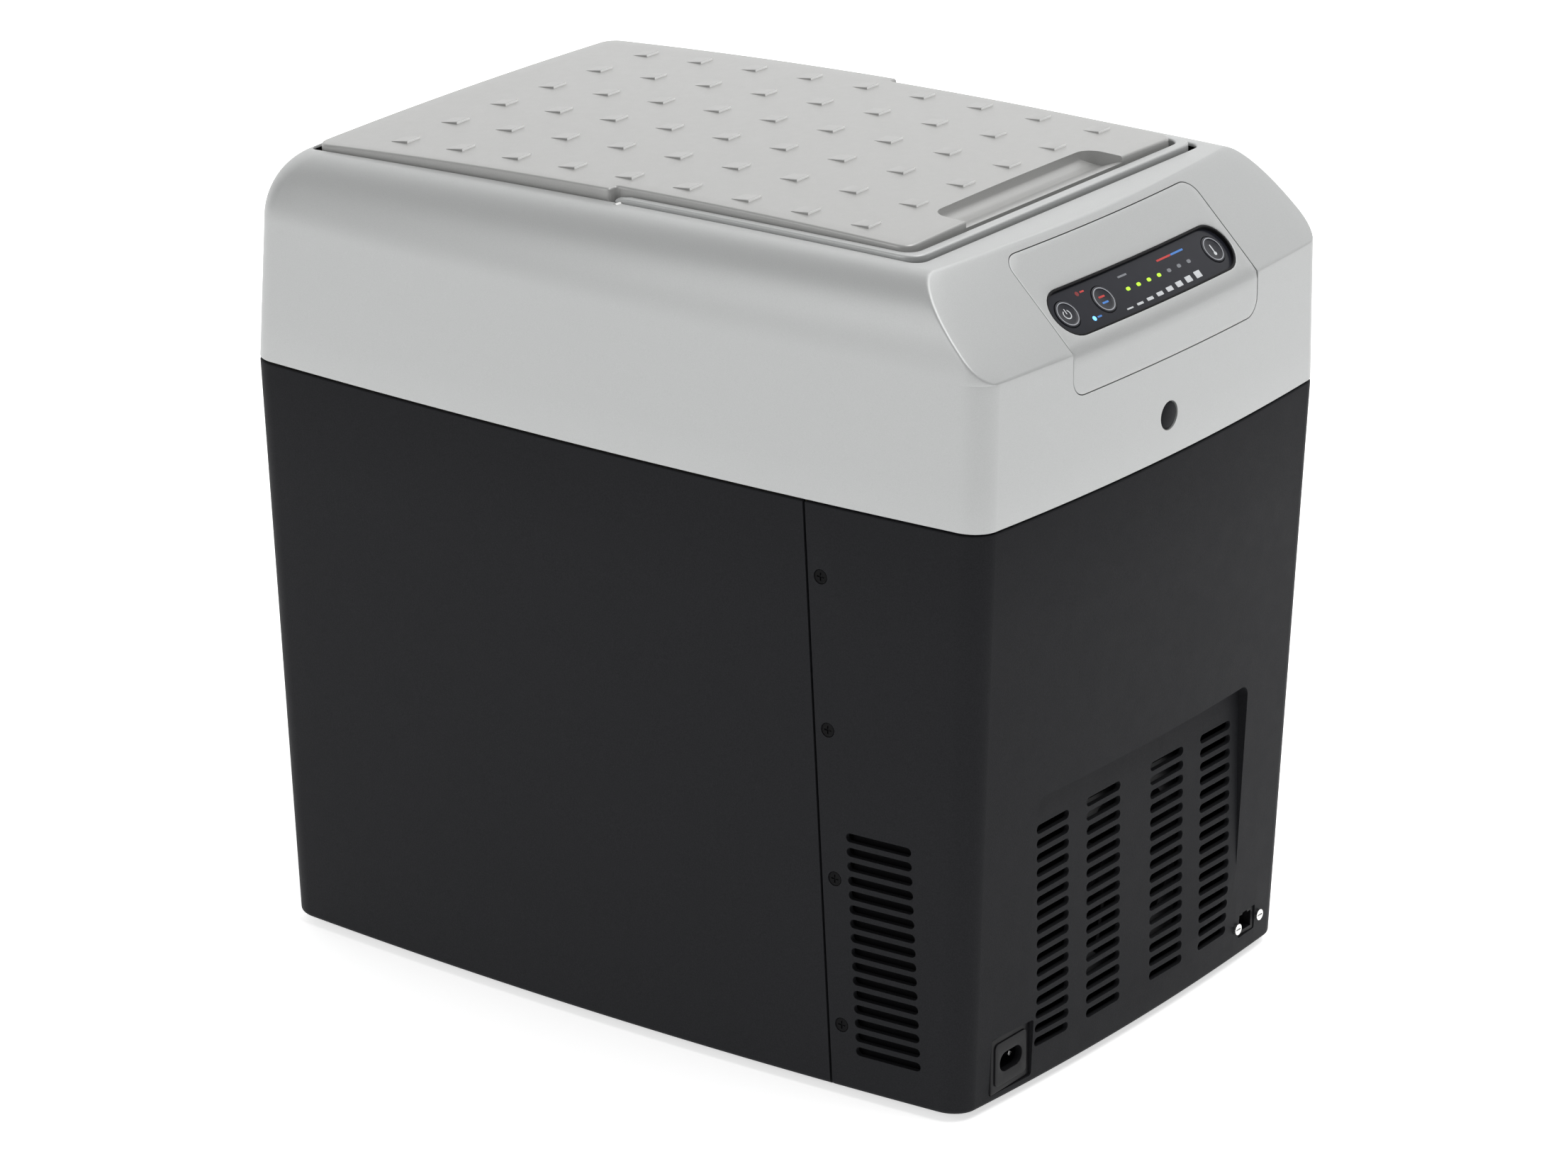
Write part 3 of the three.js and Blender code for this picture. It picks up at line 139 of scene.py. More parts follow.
def blend_level(a, b, t):
    return {k: lerp(a[k], b[k], t) for k in ("half_x", "front", "rear", "bow_x", "bow_y")}


def level_at(z):
    if z <= SEAM["z"]:
        return blend_level(BASE, SEAM, (z - BASE["z"]) / (SEAM["z"] - BASE["z"]))
    return blend_level(SEAM, SHOULDER, (z - SEAM["z"]) / (SHOULDER["z"] - SEAM["z"]))


def arch(y):
    return RIM_ARCH * np.maximum(0, 1 - (y / ARCH_SPAN) ** 2)


def rim_height(y):
    return DECK_Z - DECK_FALL * y + arch(y)


DECK = Matrix.Translation((0, 0, DECK_Z)) @ Matrix.Rotation(-math.atan(DECK_FALL), 4, "X")


def on_deck(points):
    return transform(points, DECK)


# ---------------------------------------------------------------- rings and lofts
def quarter_outline(level, inset, radius, length, full):
    """A quarter of a plan outline. Where the sloping front cuts the corner off, it leaves a
    crisp edge."""
    half_x = level["half_x"] - inset
    half_y = full - inset
    bow_x, bow_y = level.get("bow_x", 0.0), level.get("bow_y", 0.0)

    def end(x):
        return length - inset - bow_y * (x / half_x) ** 2

    corner_y = half_y - bow_y - radius
    corner_x = half_x - bow_x * (corner_y / half_y) ** 2 - radius
    corner_top = half_y - bow_y * (corner_x / half_x) ** 2
    ys = [corner_y * i / SIDE_SAMPLES for i in range(SIDE_SAMPLES)]
    path = [(half_x - bow_x * (y / half_y) ** 2, y) for y in ys]
    path += [(corner_x + radius * math.cos(a), corner_y + (corner_top - corner_y) * math.sin(a))
             for a in quarter_turn(CORNER_SAMPLES)]
    path = np.array(path)
    if length < full:
        over = path[:, 1] - end(path[:, 0])
        i = int(np.argmax(over > 0))
        t = over[i - 1] / (over[i - 1] - over[i])
        path = np.vstack([path[:i], path[i - 1] + (path[i] - path[i - 1]) * t])
    steps = np.linalg.norm(np.diff(path, axis=0), axis=1)
    along = np.concatenate([[0], np.cumsum(steps)])
    total = along[-1]
    start = total - max(radius * math.pi / 2, EDGE_CUT * 2)
    places = [start * i / SIDE_POINTS for i in range(SIDE_POINTS)]
    places += [lerp(start, total - EDGE_CUT, i / CORNER_POINTS) for i in range(CORNER_POINTS + 1)]
    points = [(np.interp(d, along, path[:, 0]), np.interp(d, along, path[:, 1])) for d in places]
    a, p = np.array(points[-1]), path[-1]
    c = np.array((p[0] - EDGE_CUT, end(p[0] - EDGE_CUT)))
    points += [tuple((1 - t) ** 2 * a + 2 * t * (1 - t) * p + t * t * c)
               for t in (0.25, 0.5, 0.75, 1.0)]
    xs = [c[0] * (END_POINTS - i) / END_POINTS for i in range(1, END_POINTS + 1)]
    return points + [(x, end(x)) for x in xs]


def outline(level, inset=0.0, corner=CORNER):
    """Closed plan ring, counterclockwise, with the same number of points at every size."""
    radius = max(corner - inset, 1.2)
    points = []
    for sx, sy in ((1, 1), (-1, 1), (-1, -1), (1, -1)):
        length = level["rear"] if sy > 0 else level["front"]
        full = level.get("full", length) if sy < 0 else length
        quarter = quarter_outline(level, inset, radius, length, full)
        if sx * sy < 0:
            quarter.reverse()
        points += [(sx * x, sy * y) for x, y in quarter[:-1]]
    return np.array(points)


def ring(plan, z):
    return np.column_stack([plan, np.full(len(plan), float(z))])


def bend(a, p, c, count, ends=True):
    """Rings on the curve that leaves a towards p and arrives at c."""
    steps = range(count + 1) if ends else range(1, count)
    return [(1 - t) ** 2 * a + 2 * t * (1 - t) * p + t * t * c for t in (i / count for i in steps)]


def trimmed(rings, start, end, count):
    """Rings evenly spaced along each column, from start after the first ring to end before the
    last."""
    stack = np.array(rings)
    steps = np.linalg.norm(np.diff(stack, axis=0), axis=2)
    along = np.vstack([np.zeros(stack.shape[1]), np.cumsum(steps, axis=0)])
    out = np.empty((count, stack.shape[1], 3))
    for column in range(stack.shape[1]):
        length = along[-1, column]
        at = np.linspace(start, length - end, count)
        for axis in range(3):
            out[:, column, axis] = np.interp(at, along[:, column], stack[:, column, axis])
    return list(out)


def loft(rings, torus=False, caps=True):
    count = len(rings[0])
    points = np.vstack(rings)
    faces = []
    for r in range(len(rings) if torus else len(rings) - 1):
        low, high = r * count, ((r + 1) % len(rings)) * count
        for j in range(count):
            k = (j + 1) % count
            faces.append((low + j, low + k, high + k, high + j))
    if caps and not torus:
        faces.append(tuple(reversed(range(count))))
        faces.append(tuple(range(len(points) - count, len(points))))
    return points, faces


def join_parts(parts):
    points, faces, start = [], [], 0
    for some_points, some_faces in parts:
        points.append(np.asarray(some_points, float))
        faces += [tuple(start + i for i in face) for face in some_faces]
        start += len(some_points)
    return np.vstack(points), faces


# ---------------------------------------------------------------- objects
def mesh_object(name, part):
    points, faces = part
    data = bpy.data.meshes.new(name)
    data.from_pydata([tuple(p) for p in np.asarray(points) * MM], [], faces)
    data.validate()
    obj = bpy.data.objects.new(name, data)
    bpy.context.scene.collection.objects.link(obj)
    return obj


def outward(obj):
    work = bmesh.new()
    work.from_mesh(obj.data)
    bmesh.ops.recalc_face_normals(work, faces=work.faces)
    work.to_mesh(obj.data)
    work.free()
    return obj


def solid(name, part):
    """A mesh object whose faces all point outwards, ready for a boolean."""
    return outward(mesh_object(name, part))


def boolean(obj, operation, part):
    """Applies a solid to obj: DIFFERENCE, UNION or INTERSECT."""
    tool = solid("tool", part) if isinstance(part, tuple) else outward(part)
    modifier = obj.modifiers.new("cut", "BOOLEAN")
    modifier.operation = operation
    modifier.solver = "MANIFOLD"
    modifier.object = tool
    graph = bpy.context.evaluated_depsgraph_get()
    result = bpy.data.meshes.new_from_object(obj.evaluated_get(graph))
    obj.modifiers.clear()
    old = obj.data
    obj.data = result
    bpy.data.meshes.remove(old)
    bpy.data.objects.remove(tool)
    return obj


def piece(obj, body, slot, material, *nodes, sharp=32):
    outward(obj)
    obj.data.materials.clear()
    obj.data.materials.append(material)
    obj.data.polygons.foreach_set("use_smooth", [True] * len(obj.data.polygons))
    obj.data.set_sharp_from_angle(angle=math.radians(sharp))
    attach(obj, body)
    if nodes:
        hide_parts(*nodes)
    return obj


def prism(plan, low, high, matrix=Matrix.Identity(4)):
    plan = np.asarray(plan, float)
    points, faces = loft([ring(plan, low), ring(plan, high)])
    return transform(points, matrix), faces


def side_prism(profile, half_x):
    """A solid from a (y, z) profile, across the box."""
    profile = np.asarray(profile, float)
    return loft([np.column_stack([np.full(len(profile), x), profile]) for x in (-half_x, half_x)])


def arc(cx, cy, rx, ry, start, end, count):
    angles = [math.radians(lerp(start, end, i / count)) for i in range(count + 1)]
    return [(cx + rx * math.cos(a), cy + ry * math.sin(a)) for a in angles]


def rounded(x0, x1, y0, y1, r, count=6):
    return (arc(x1 - r, y1 - r, r, r, 0, 90, count) + arc(x0 + r, y1 - r, r, r, 90, 180, count)
            + arc(x0 + r, y0 + r, r, r, 180, 270, count)
            + arc(x1 - r, y0 + r, r, r, 270, 360, count))


def framed(zone, count=4):
    """The rounded rectangle of a socket, about its own centre."""
    x, z = zone["half_x"], zone["half_z"]
    return rounded(-x, x, -z, z, zone["corner"], count)


def stadium(half_x, half_y, cx=0.0, cy=0.0, count=10):
    return (arc(cx + half_x - half_y, cy, half_y, half_y, -90, 90, count)
            + arc(cx - half_x + half_y, cy, half_y, half_y, 90, 270, count))


def circle(radius, cx=0.0, cy=0.0, count=32):
    return arc(cx, cy, radius, radius, 0, 360 * (1 - 1 / count), count - 1)


def offset(loop, distance):
    """The loop moved inwards (counterclockwise loops) along its vertex normals."""
    loop = np.asarray(loop, float)

    def normal(d):
        length = np.maximum(np.linalg.norm(d, axis=1), 1e-9)
        return np.column_stack([-d[:, 1], d[:, 0]]) / length[:, None]

    mid = normal(loop - np.roll(loop, 1, 0)) + normal(np.roll(loop, -1, 0) - loop)
    scale = np.maximum((mid * mid).sum(1) / 2, 0.4)
    return loop + mid / scale[:, None] * distance


def densify(loop, spacing):
    loop = np.asarray(loop, float)
    out = []
    for p, q in zip(loop, np.roll(loop, -1, 0)):
        count = max(1, int(np.linalg.norm(q - p) / spacing))
        out += [p + (q - p) * i / count for i in range(count)]
    return np.array(out)


def inside(points, loop):
    x, y = points[:, 0], points[:, 1]
    hit = np.zeros(len(points), bool)
    for (x0, y0), (x1, y1) in zip(loop, np.roll(loop, -1, 0)):
        if y0 != y1:
            hit ^= ((y0 > y) != (y1 > y)) & (x < (x1 - x0) * (y - y0) / (y1 - y0) + x0)
    return hit


def grid_between(loops, spacing):
    """A grid of points inside the first loop and outside the others, clear of their edges."""
    low, high = loops[0].min(0), loops[0].max(0)
    xs = np.arange(low[0] + spacing / 2, high[0], spacing)
    ys = np.arange(low[1] + spacing / 2, high[1], spacing)
    grid = np.array([(x, y) for x in xs for y in ys]).reshape(-1, 2)
    if not len(grid):
        return grid
    keep = inside(grid, loops[0])
    for loop in loops[1:]:
        keep &= ~inside(grid, loop)
    for loop in loops:
        distance = np.full(len(grid), 1e9)
        for p, q in zip(loop, np.roll(loop, -1, 0)):
            d = q - p
            t = np.clip(((grid - p) @ d) / max(d @ d, 1e-9), 0, 1)
            away = np.linalg.norm(grid - (p + t[:, None] * d), axis=1)
            distance = np.minimum(distance, away)
        keep &= distance > spacing * 0.4
    return grid[keep]


def filled(loops, spacing):
    """Triangles inside the first loop and outside the others. The loops' points come first."""
    edges, start = [], 0
    for loop in loops:
        count = len(loop)
        edges += [(start + i, start + (i + 1) % count) for i in range(count)]
        start += count
    every = np.vstack(loops + [grid_between(loops, spacing)])
    out, _, faces, origin, _, _ = delaunay_2d_cdt([Vector(p) for p in every], edges, [], 0, 1e-6)
    out = np.array([tuple(v) for v in out])
    place = {old: new for new, olds in enumerate(origin) for old in olds}
    back = {new: old for old, new in place.items()}
    kept = []
    for face in faces:
        middle = out[list(face)].mean(0)[None]
        in_hole = any(inside(middle, loop)[0] for loop in loops[1:])
        if inside(middle, loops[0])[0] and not in_hole:
            kept.append(tuple(back[i] for i in face))
    return every, kept


def plate(loops, place, top, bottom, round_top=0.5, round_bottom=0.0, spacing=6.0, steps=4):
    """A closed plate between two depths, with rounded edges. place maps (x, y, depth) arrays to
    points. The outer loop is counterclockwise, and holes are clockwise."""
    loops = [np.asarray(loop, float) for loop in loops]
    levels = [(0.0, top)]
    if round_top:
        levels = [(round_top * (1 - math.sin(a)), top + round_top * (1 - math.cos(a)))
                  for a in quarter_turn(steps)]
    levels += [(0.0, bottom)] if not round_bottom else [
        (round_bottom * (1 - math.cos(a)), bottom - round_bottom * (1 - math.sin(a)))
        for a in quarter_turn(steps)]
    points, faces, index, total = [], [], [], 0
    for inset, depth in levels:
        index.append([])
        for loop in loops:
            moved = offset(loop, inset) if inset else loop
            points.append(place(moved[:, 0], moved[:, 1], np.full(len(moved), depth)))
            index[-1].append(total)
            total += len(moved)
    for upper, lower in zip(index, index[1:]):
        for n, loop in enumerate(loops):
            count = len(loop)
            for j in range(count):
                k = (j + 1) % count
                faces.append((upper[n] + j, lower[n] + j, lower[n] + k, upper[n] + k))
    border = sum(len(loop) for loop in loops)
    for level, flip in ((0, False), (-1, True)):
        inset, depth = levels[level]
        every, triangles = filled([offset(loop, inset) if inset else loop for loop in loops],
                                  spacing)
        extra = every[border:]
        if len(extra):
            points.append(place(extra[:, 0], extra[:, 1], np.full(len(extra), depth)))
        first = index[level][0]
        lookup = list(range(first, first + border)) + list(range(total, total + len(extra)))
        total += len(extra)
        for face in triangles:
            face = tuple(lookup[i] for i in face)
            faces.append(tuple(reversed(face)) if flip else face)
    return np.vstack(points), faces


def lathe(profile, matrix, count=48):
    """A solid of revolution about Z from a (radius, z) profile that starts and ends on the axis."""
    angles = [2 * math.pi * j / count for j in range(count)]
    rings = [np.array([(r * math.cos(a), r * math.sin(a), z) for a in angles])
             for r, z in profile[1:-1]]
    points, faces = loft(rings, caps=False)
    first, last = len(points), len(points) + 1
    points = np.vstack([points, [(0, 0, profile[0][1])], [(0, 0, profile[-1][1])]])
    end = len(rings) * count - count
    for j in range(count):
        k = (j + 1) % count
        faces.append((first, k, j))
        faces.append((last, end + j, end + k))
    return transform(points, matrix), faces


# ---------------------------------------------------------------- materials
GLOSS_SCALE = 0.07  # size of the gloss noise against the colour noise
GRAIN_DEPTH = 0.0002


def material(name, color, roughness, metallic=0.0, spread=0.0, scale=900.0, bump=0.0,
             bump_scale=2500.0, rough_spread=0.05, emission=None, glow=0.0, stretch=(1, 1, 1),
             specular=0.5):
    """A procedural surface: fine colour variation, uneven gloss and a little grain."""
    mat = bpy.data.materials.new(name)
    mat.use_nodes = True
    nodes, links = mat.node_tree.nodes, mat.node_tree.links
    shader = nodes["Principled BSDF"]
    shader.inputs["Metallic"].default_value = metallic
    shader.inputs["Specular IOR Level"].default_value = specular
    coords = nodes.new("ShaderNodeTexCoord")
    mapping = nodes.new("ShaderNodeMapping")
    mapping.inputs["Scale"].default_value = stretch
    links.new(coords.outputs["Object"], mapping.inputs["Vector"])

    def noise(size, detail):
        node = nodes.new("ShaderNodeTexNoise")
        node.inputs["Scale"].default_value = size
        node.inputs["Detail"].default_value = detail
        links.new(mapping.outputs["Vector"], node.inputs["Vector"])
        return node.outputs["Fac"]

    ramp = nodes.new("ShaderNodeValToRGB")
    for element, position, share in zip(ramp.color_ramp.elements, (0.3, 0.7), (-spread, spread)):
        element.position = position
        element.color = [min(1, c * (1 + share)) for c in color] + [1]
    links.new(noise(scale, 3), ramp.inputs["Fac"])
    links.new(ramp.outputs["Color"], shader.inputs["Base Color"])
    gloss = nodes.new("ShaderNodeMapRange")
    gloss.inputs["To Min"].default_value = max(0.03, roughness - rough_spread)
    gloss.inputs["To Max"].default_value = min(1, roughness + rough_spread)
    links.new(noise(scale * GLOSS_SCALE, 4), gloss.inputs["Value"])
    links.new(gloss.outputs["Result"], shader.inputs["Roughness"])
    if bump:
        node = nodes.new("ShaderNodeBump")
        node.inputs["Strength"].default_value = bump
        node.inputs["Distance"].default_value = GRAIN_DEPTH
        links.new(noise(bump_scale, 2), node.inputs["Height"])
        links.new(node.outputs["Normal"], shader.inputs["Normal"])
    if emission:
        shader.inputs["Emission Color"].default_value = (*emission, 1)
        shader.inputs["Emission Strength"].default_value = glow
    return mat


SILVER = material("silver_paint", (0.462, 0.470, 0.468), 0.40, 0.30, spread=0.05, scale=2600,
                  bump=0.05, bump_scale=3000, rough_spread=0.03)
# Painted shade: a darker, warmer copy of the silver paint for the lid's top and treads, toning down
# the light that falls on them.
LID_SHADED_SILVER = material("lid_silver_painted_shade", (0.385, 0.385, 0.378), 0.36, 0.28, spread=0.05,
                      scale=2600, bump=0.05, bump_scale=3000, rough_spread=0.04)
# Painted highlight: a near-white copy of the lid's silver for the treads' front faces, standing in
# for light catching them.
TREAD_HIGHLIGHT_SILVER = material("tread_painted_highlight", (0.86, 0.86, 0.85), 0.30, 0.10, spread=0.04, scale=2600)
CHARCOAL = material("charcoal_shell", (0.0168, 0.0172, 0.0190), 0.52, spread=0.12, scale=1400,
                    bump=0.3, bump_scale=1900, specular=0.05)
BLACK = material("black_plastic", (0.008, 0.008, 0.009), 0.38, spread=0.1, scale=1200, bump=0.12,
                 specular=0.12)
# Painted shade: a near-black, darker than the parts' own plastic, for inner surfaces seen only
# through gaps, slots and wells.
SHADE_BLACK = material("painted_shade_black", (0.0025, 0.0025, 0.003), 0.6, spread=0.1, scale=1200,
                       bump=0.2, specular=0.04)
RUBBER = material("black_rubber", (0.012, 0.012, 0.012), 0.8, spread=0.15, bump=0.3)
LINER = material("light_liner", (0.60, 0.61, 0.62), 0.45, spread=0.03, scale=500, bump=0.15)
FOAM = material("insulating_foam", (0.72, 0.62, 0.33), 0.95, spread=0.12, scale=700, bump=0.8,
                bump_scale=900)
ALUMINIUM = material("bare_aluminium", (0.72, 0.73, 0.74), 0.35, 1.0, spread=0.05, bump=0.1,
                     stretch=(1, 8, 1))
DARK_ALUMINIUM = material("anodised_aluminium", (0.02, 0.02, 0.022), 0.45, 0.6, spread=0.1)
STEEL = material("bright_steel", (0.75, 0.75, 0.74), 0.22, 1.0, spread=0.04)
BLACK_STEEL = material("black_steel", (0.004, 0.004, 0.0045), 0.5, spread=0.1, specular=0.06)
CERAMIC = material("white_ceramic", (0.80, 0.79, 0.75), 0.55, spread=0.04, scale=700, bump=0.1)
BOARD = material("green_board", (0.012, 0.10, 0.035), 0.42, spread=0.2, scale=300, bump=0.1)
LENS = material("smoked_lens", (0.017, 0.018, 0.024), 0.2, spread=0.05, scale=200,
                rough_spread=0.03, specular=0.22)
PRINT = material("white_print", (0.62, 0.64, 0.66), 0.4, spread=0.04)
RIM_LINE = material("key_rim_line", (0.34, 0.35, 0.38), 0.35, spread=0.04)
DIM_PRINT = material("dim_print", (0.20, 0.21, 0.23), 0.4, spread=0.04)
LIME = material("lit_lime", (0.45, 0.75, 0.03), 0.3, spread=0.05, emission=(0.50, 0.95, 0.04),
                glow=0.45)
LED_BLUE = material("lit_blue", (0.10, 0.35, 0.9), 0.3, spread=0.05, emission=(0.15, 0.45, 1.0),
                    glow=1.6)
LED_RED = material("unlit_red", (0.22, 0.02, 0.02), 0.25, spread=0.05)
BLUE_PRINT = material("blue_print", (0.06, 0.22, 0.62), 0.4, spread=0.04)
RED_PRINT = material("red_print", (0.55, 0.035, 0.03), 0.4, spread=0.04)
KEY = material("key_plastic", (0.024, 0.025, 0.031), 0.28, spread=0.04, scale=800, bump=0.03,
               specular=0.3)

# The CAD nodes' materials, by the start of their names. The other nodes are black plastic.
NODE_MATERIAL = (
    (SILVER, ("upper_casing", "control_bezel", "lid_top", "carry_handle")),
    (CHARCOAL, ("lower_casing", "machine_cover", "front_plug")),
    (LINER, ("inner_liner", "cold_fan_cover", "lid_inner")),
    (FOAM, ("foam_insulation", "lid_foam")),
    (RUBBER, ("lid_gasket", "foot_")),
    (LENS, ("display_window", "power_button", "mode_button", "temperature_button")),
    (ALUMINIUM, ("cold_heatsink", "cold_block", "power_supply")),
    (DARK_ALUMINIUM, ("hot_heatsink",)),
    (STEEL, ("clamp_screw", "ac_pin", "dc_blade", "dc_screw", "lid_hinge_pin", "handle_pin")),
    (BLACK_STEEL, ("cover_screw",)),
    (CERAMIC, ("peltier_module",)),
    (BOARD, ("display_board", "control_board")),
    (LIME, ("level_leds",)),
    (LED_BLUE, ("cool_led",)),
    (LED_RED, ("heat_led",)),
)

for node_name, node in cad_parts.items():
    found = [mat for mat, starts in NODE_MATERIAL if node_name.startswith(starts)]
    node.data.materials.clear()
    node.data.materials.append(found[0] if found else BLACK)


# ---------------------------------------------------------------- casing shells
def body_ring(z, inset=0.0):
    return ring(outline(level_at(z), inset), z)


def outer_rings(inset, low, high):
    """The lower body from its bottom edge up to its lip, with both edges rounded."""
    rings = [body_ring(low + FOOT_EDGE * (1 - math.cos(a)), inset + FOOT_EDGE * (1 - math.sin(a)))
             for a in quarter_turn(5)]
    rings += [body_ring(lerp(low + FOOT_EDGE, high - LIP_EDGE, t), inset)
              for t in (0.2, 0.4, 0.6, 0.8)]
    return rings + [body_ring(high - LIP_EDGE * (1 - math.sin(a)),
                              inset + LIP_EDGE * (1 - math.cos(a))) for a in quarter_turn(3)]


def cup(inset, wall, low, high):
    """The lower body with a closed bottom and an open top."""
    inner = [body_ring(z, inset + wall) for z in (high, lerp(low, high, 0.5), low + wall + 1)]
    return loft(outer_rings(inset, low, high) + inner)


def cover_y(z):
    return COVER_Y + COVER_LEAN * (z - BASE["z"])


def joint_slab(near, far):
    """Everything between two distances behind the joint line."""
    low, high = -50.0, 480.0
    return side_prism([(cover_y(low) + near, low), (cover_y(low) + far, low),
                       (cover_y(high) + far, high), (cover_y(high) + near, high)], FAR)


def side_x(y, z):
    level = level_at(z)
    return level["half_x"] - level["bow_x"] * (y / level["front"]) ** 2


def front_y(x, z):
    level = level_at(z)
    return -(level["front"] - level["bow_y"] * (x / level["half_x"]) ** 2)


def screw_frames():
    """Frames on the casing's sides at the cover screws, with Z pointing out."""
    frames = []
    for z in SCREW["heights"]:
        y = cover_y(z) - SCREW["setback"]
        for side in (-1, 1):
            place = Matrix.Translation((side * (side_x(y, z) - SCREW["sunk"]), y, z))
            frames.append(place @ Matrix.Rotation(math.radians(90 * side), 4, "Y"))
    return frames


def build_lower_casing():
    obj = solid("lower_casing_shell", cup(0, WALL, BASE["z"], LOWER_TOP))
    boolean(obj, "DIFFERENCE", joint_slab(-FAR * 2, JOINT_GAP))
    piece(obj, "cabinet", "charcoal_shell", CHARCOAL, "lower_casing", sharp=35)
    inner = WALL + 0.3
    obj = solid("bulkhead", loft(outer_rings(inner, BASE["z"] + inner, LOWER_TOP - 2)))
    front, rear = BULKHEAD
    boolean(obj, "INTERSECT", side_prism([(front, 0), (rear, 0), (rear, FAR), (front, FAR)], FAR))
    boolean(obj, "DIFFERENCE", prism(FAN_WINDOW, 100, 180, FORWARD))
    # The bulkhead is drawn in the near-black: painted shade behind the fan window and the slots.
    piece(obj, "cabinet", "charcoal_shell", SHADE_BLACK)
    obj = solid("vent_screen", cup(WALL + 1.0, 0.6, BASE["z"] + 6, LOWER_TOP - 2))
    boolean(obj, "INTERSECT", side_prism(VENT_SCREEN, FAR))
    # The vent screen is drawn in the near-black: painted shade behind the side slots.
    piece(obj, "cabinet", "black_plastic", SHADE_BLACK)
    inner = WALL + 0.1
    obj = solid("joint_flange", cup(inner, 2.0, BASE["z"] + inner, LOWER_TOP - 2))
    boolean(obj, "INTERSECT", joint_slab(-9, 9))
    # The joint flange is drawn in the near-black: painted shade in the joint gap.
    piece(obj, "cabinet", "charcoal_shell", SHADE_BLACK)


def pocket_tool(depth, grow):
    """The front vent pocket: deepest at its top, and running out at its bottom."""
    low, high, half_x = POCKET["bottom"] - grow, POCKET["top"] + grow, POCKET["half_x"] + grow
    y0 = front_y(0, POCKET["bottom"]) + depth
    y1 = front_y(0, POCKET["top"]) + POCKET["depth"] + depth
    wedge = solid("wedge", side_prism([(-FAR, low), (y0, low), (y1, high), (-FAR, high)], half_x))
    face = rounded(-half_x, half_x, low, high, POCKET["corner"])
    return boolean(wedge, "INTERSECT", prism(face, 0, FAR + 50, FORWARD))


def vent_tools():
    parts = []
    half = SLOT["height"] / 2
    for centre, length in FRONT_COLUMNS:
        for side in (-1, 1):
            for i in range(SLOT["count"]):
                z = SLOT["lowest"] + i * SLOT["pitch"]
                slot = stadium(length / 2, half, side * centre, z, 8)
                parts.append(prism(slot, 180, 260, FORWARD))
    for i in range(SLOT["count"]):
        z = SLOT["lowest"] + 1 + i * SLOT["pitch"]
        slot = stadium(SIDE_SLOT["length"] / 2, half, cover_y(z) - SIDE_SLOT["setback"], z, 8)
        for low, high in ((-FAR, -100), (100, FAR)):
            parts.append(prism(slot, low, high, SIDEWAYS))
    return join_parts(parts)


def build_cover():
    obj = solid("end_cover_shell", cup(0, WALL, BASE["z"], LOWER_TOP))
    boolean(obj, "DIFFERENCE", joint_slab(-JOINT_GAP, FAR * 2))
    behind_pocket = solid("solid", loft(outer_rings(0, BASE["z"], LOWER_TOP)))
    boolean(behind_pocket, "INTERSECT", pocket_tool(WALL, WALL))
    boolean(obj, "UNION", behind_pocket)
    boolean(obj, "DIFFERENCE", pocket_tool(0, 0))
    boolean(obj, "DIFFERENCE", vent_tools())
    boolean(obj, "DIFFERENCE", join_parts([
        prism(np.array(framed(zone)) + (zone["x"], zone["z"]), 180, FAR, FORWARD)
        for zone in (AC, DC)]))
    boolean(obj, "DIFFERENCE", join_parts([
        prism(circle(SCREW["head"] + 0.3, count=28), 0, 6, m) for m in screw_frames()]))
    piece(obj, "cabinet", "charcoal_shell", CHARCOAL, "machine_cover", sharp=35)


def roll_rings(inset):
    """The rolled shoulder from its foot to the rim."""
    rings = []
    for i in range(ROLL_STEPS + 1):
        t = math.sin(math.pi / 2 * (i / ROLL_STEPS) ** 1.5)
        level = blend_level(RIM, SHOULDER, math.sqrt(max(0, 1 - t * t)))
        level["front"] = lerp(SHOULDER["front"], RIM["front"], t)
        level["full"] = SHOULDER["front"]
        plan = outline(level, inset)
        heights = lerp(SHOULDER["z"], rim_height(plan[:, 1]) - inset, t)
        rings.append(np.column_stack([plan, heights]))
    return rings


def rim_ring(drop):
    """A ring inside the rim, level with it or a little lower."""
    plan = outline(RIM, RIM_BAND)
    return np.column_stack([plan, rim_height(plan[:, 1]) - drop])


def deck_points(zone, z, grow=0.0, arched=False):
    """A ring round the recess or the mouth, in the deck's frame."""
    level = {k: zone[k] + grow for k in ("half_x", "front", "rear")}
    plan = outline(level, 0.0, zone["corner"] + grow)
    heights = z + (arch(plan[:, 1]) if arched else np.zeros(len(plan)))
    return on_deck(np.column_stack([plan, heights]))


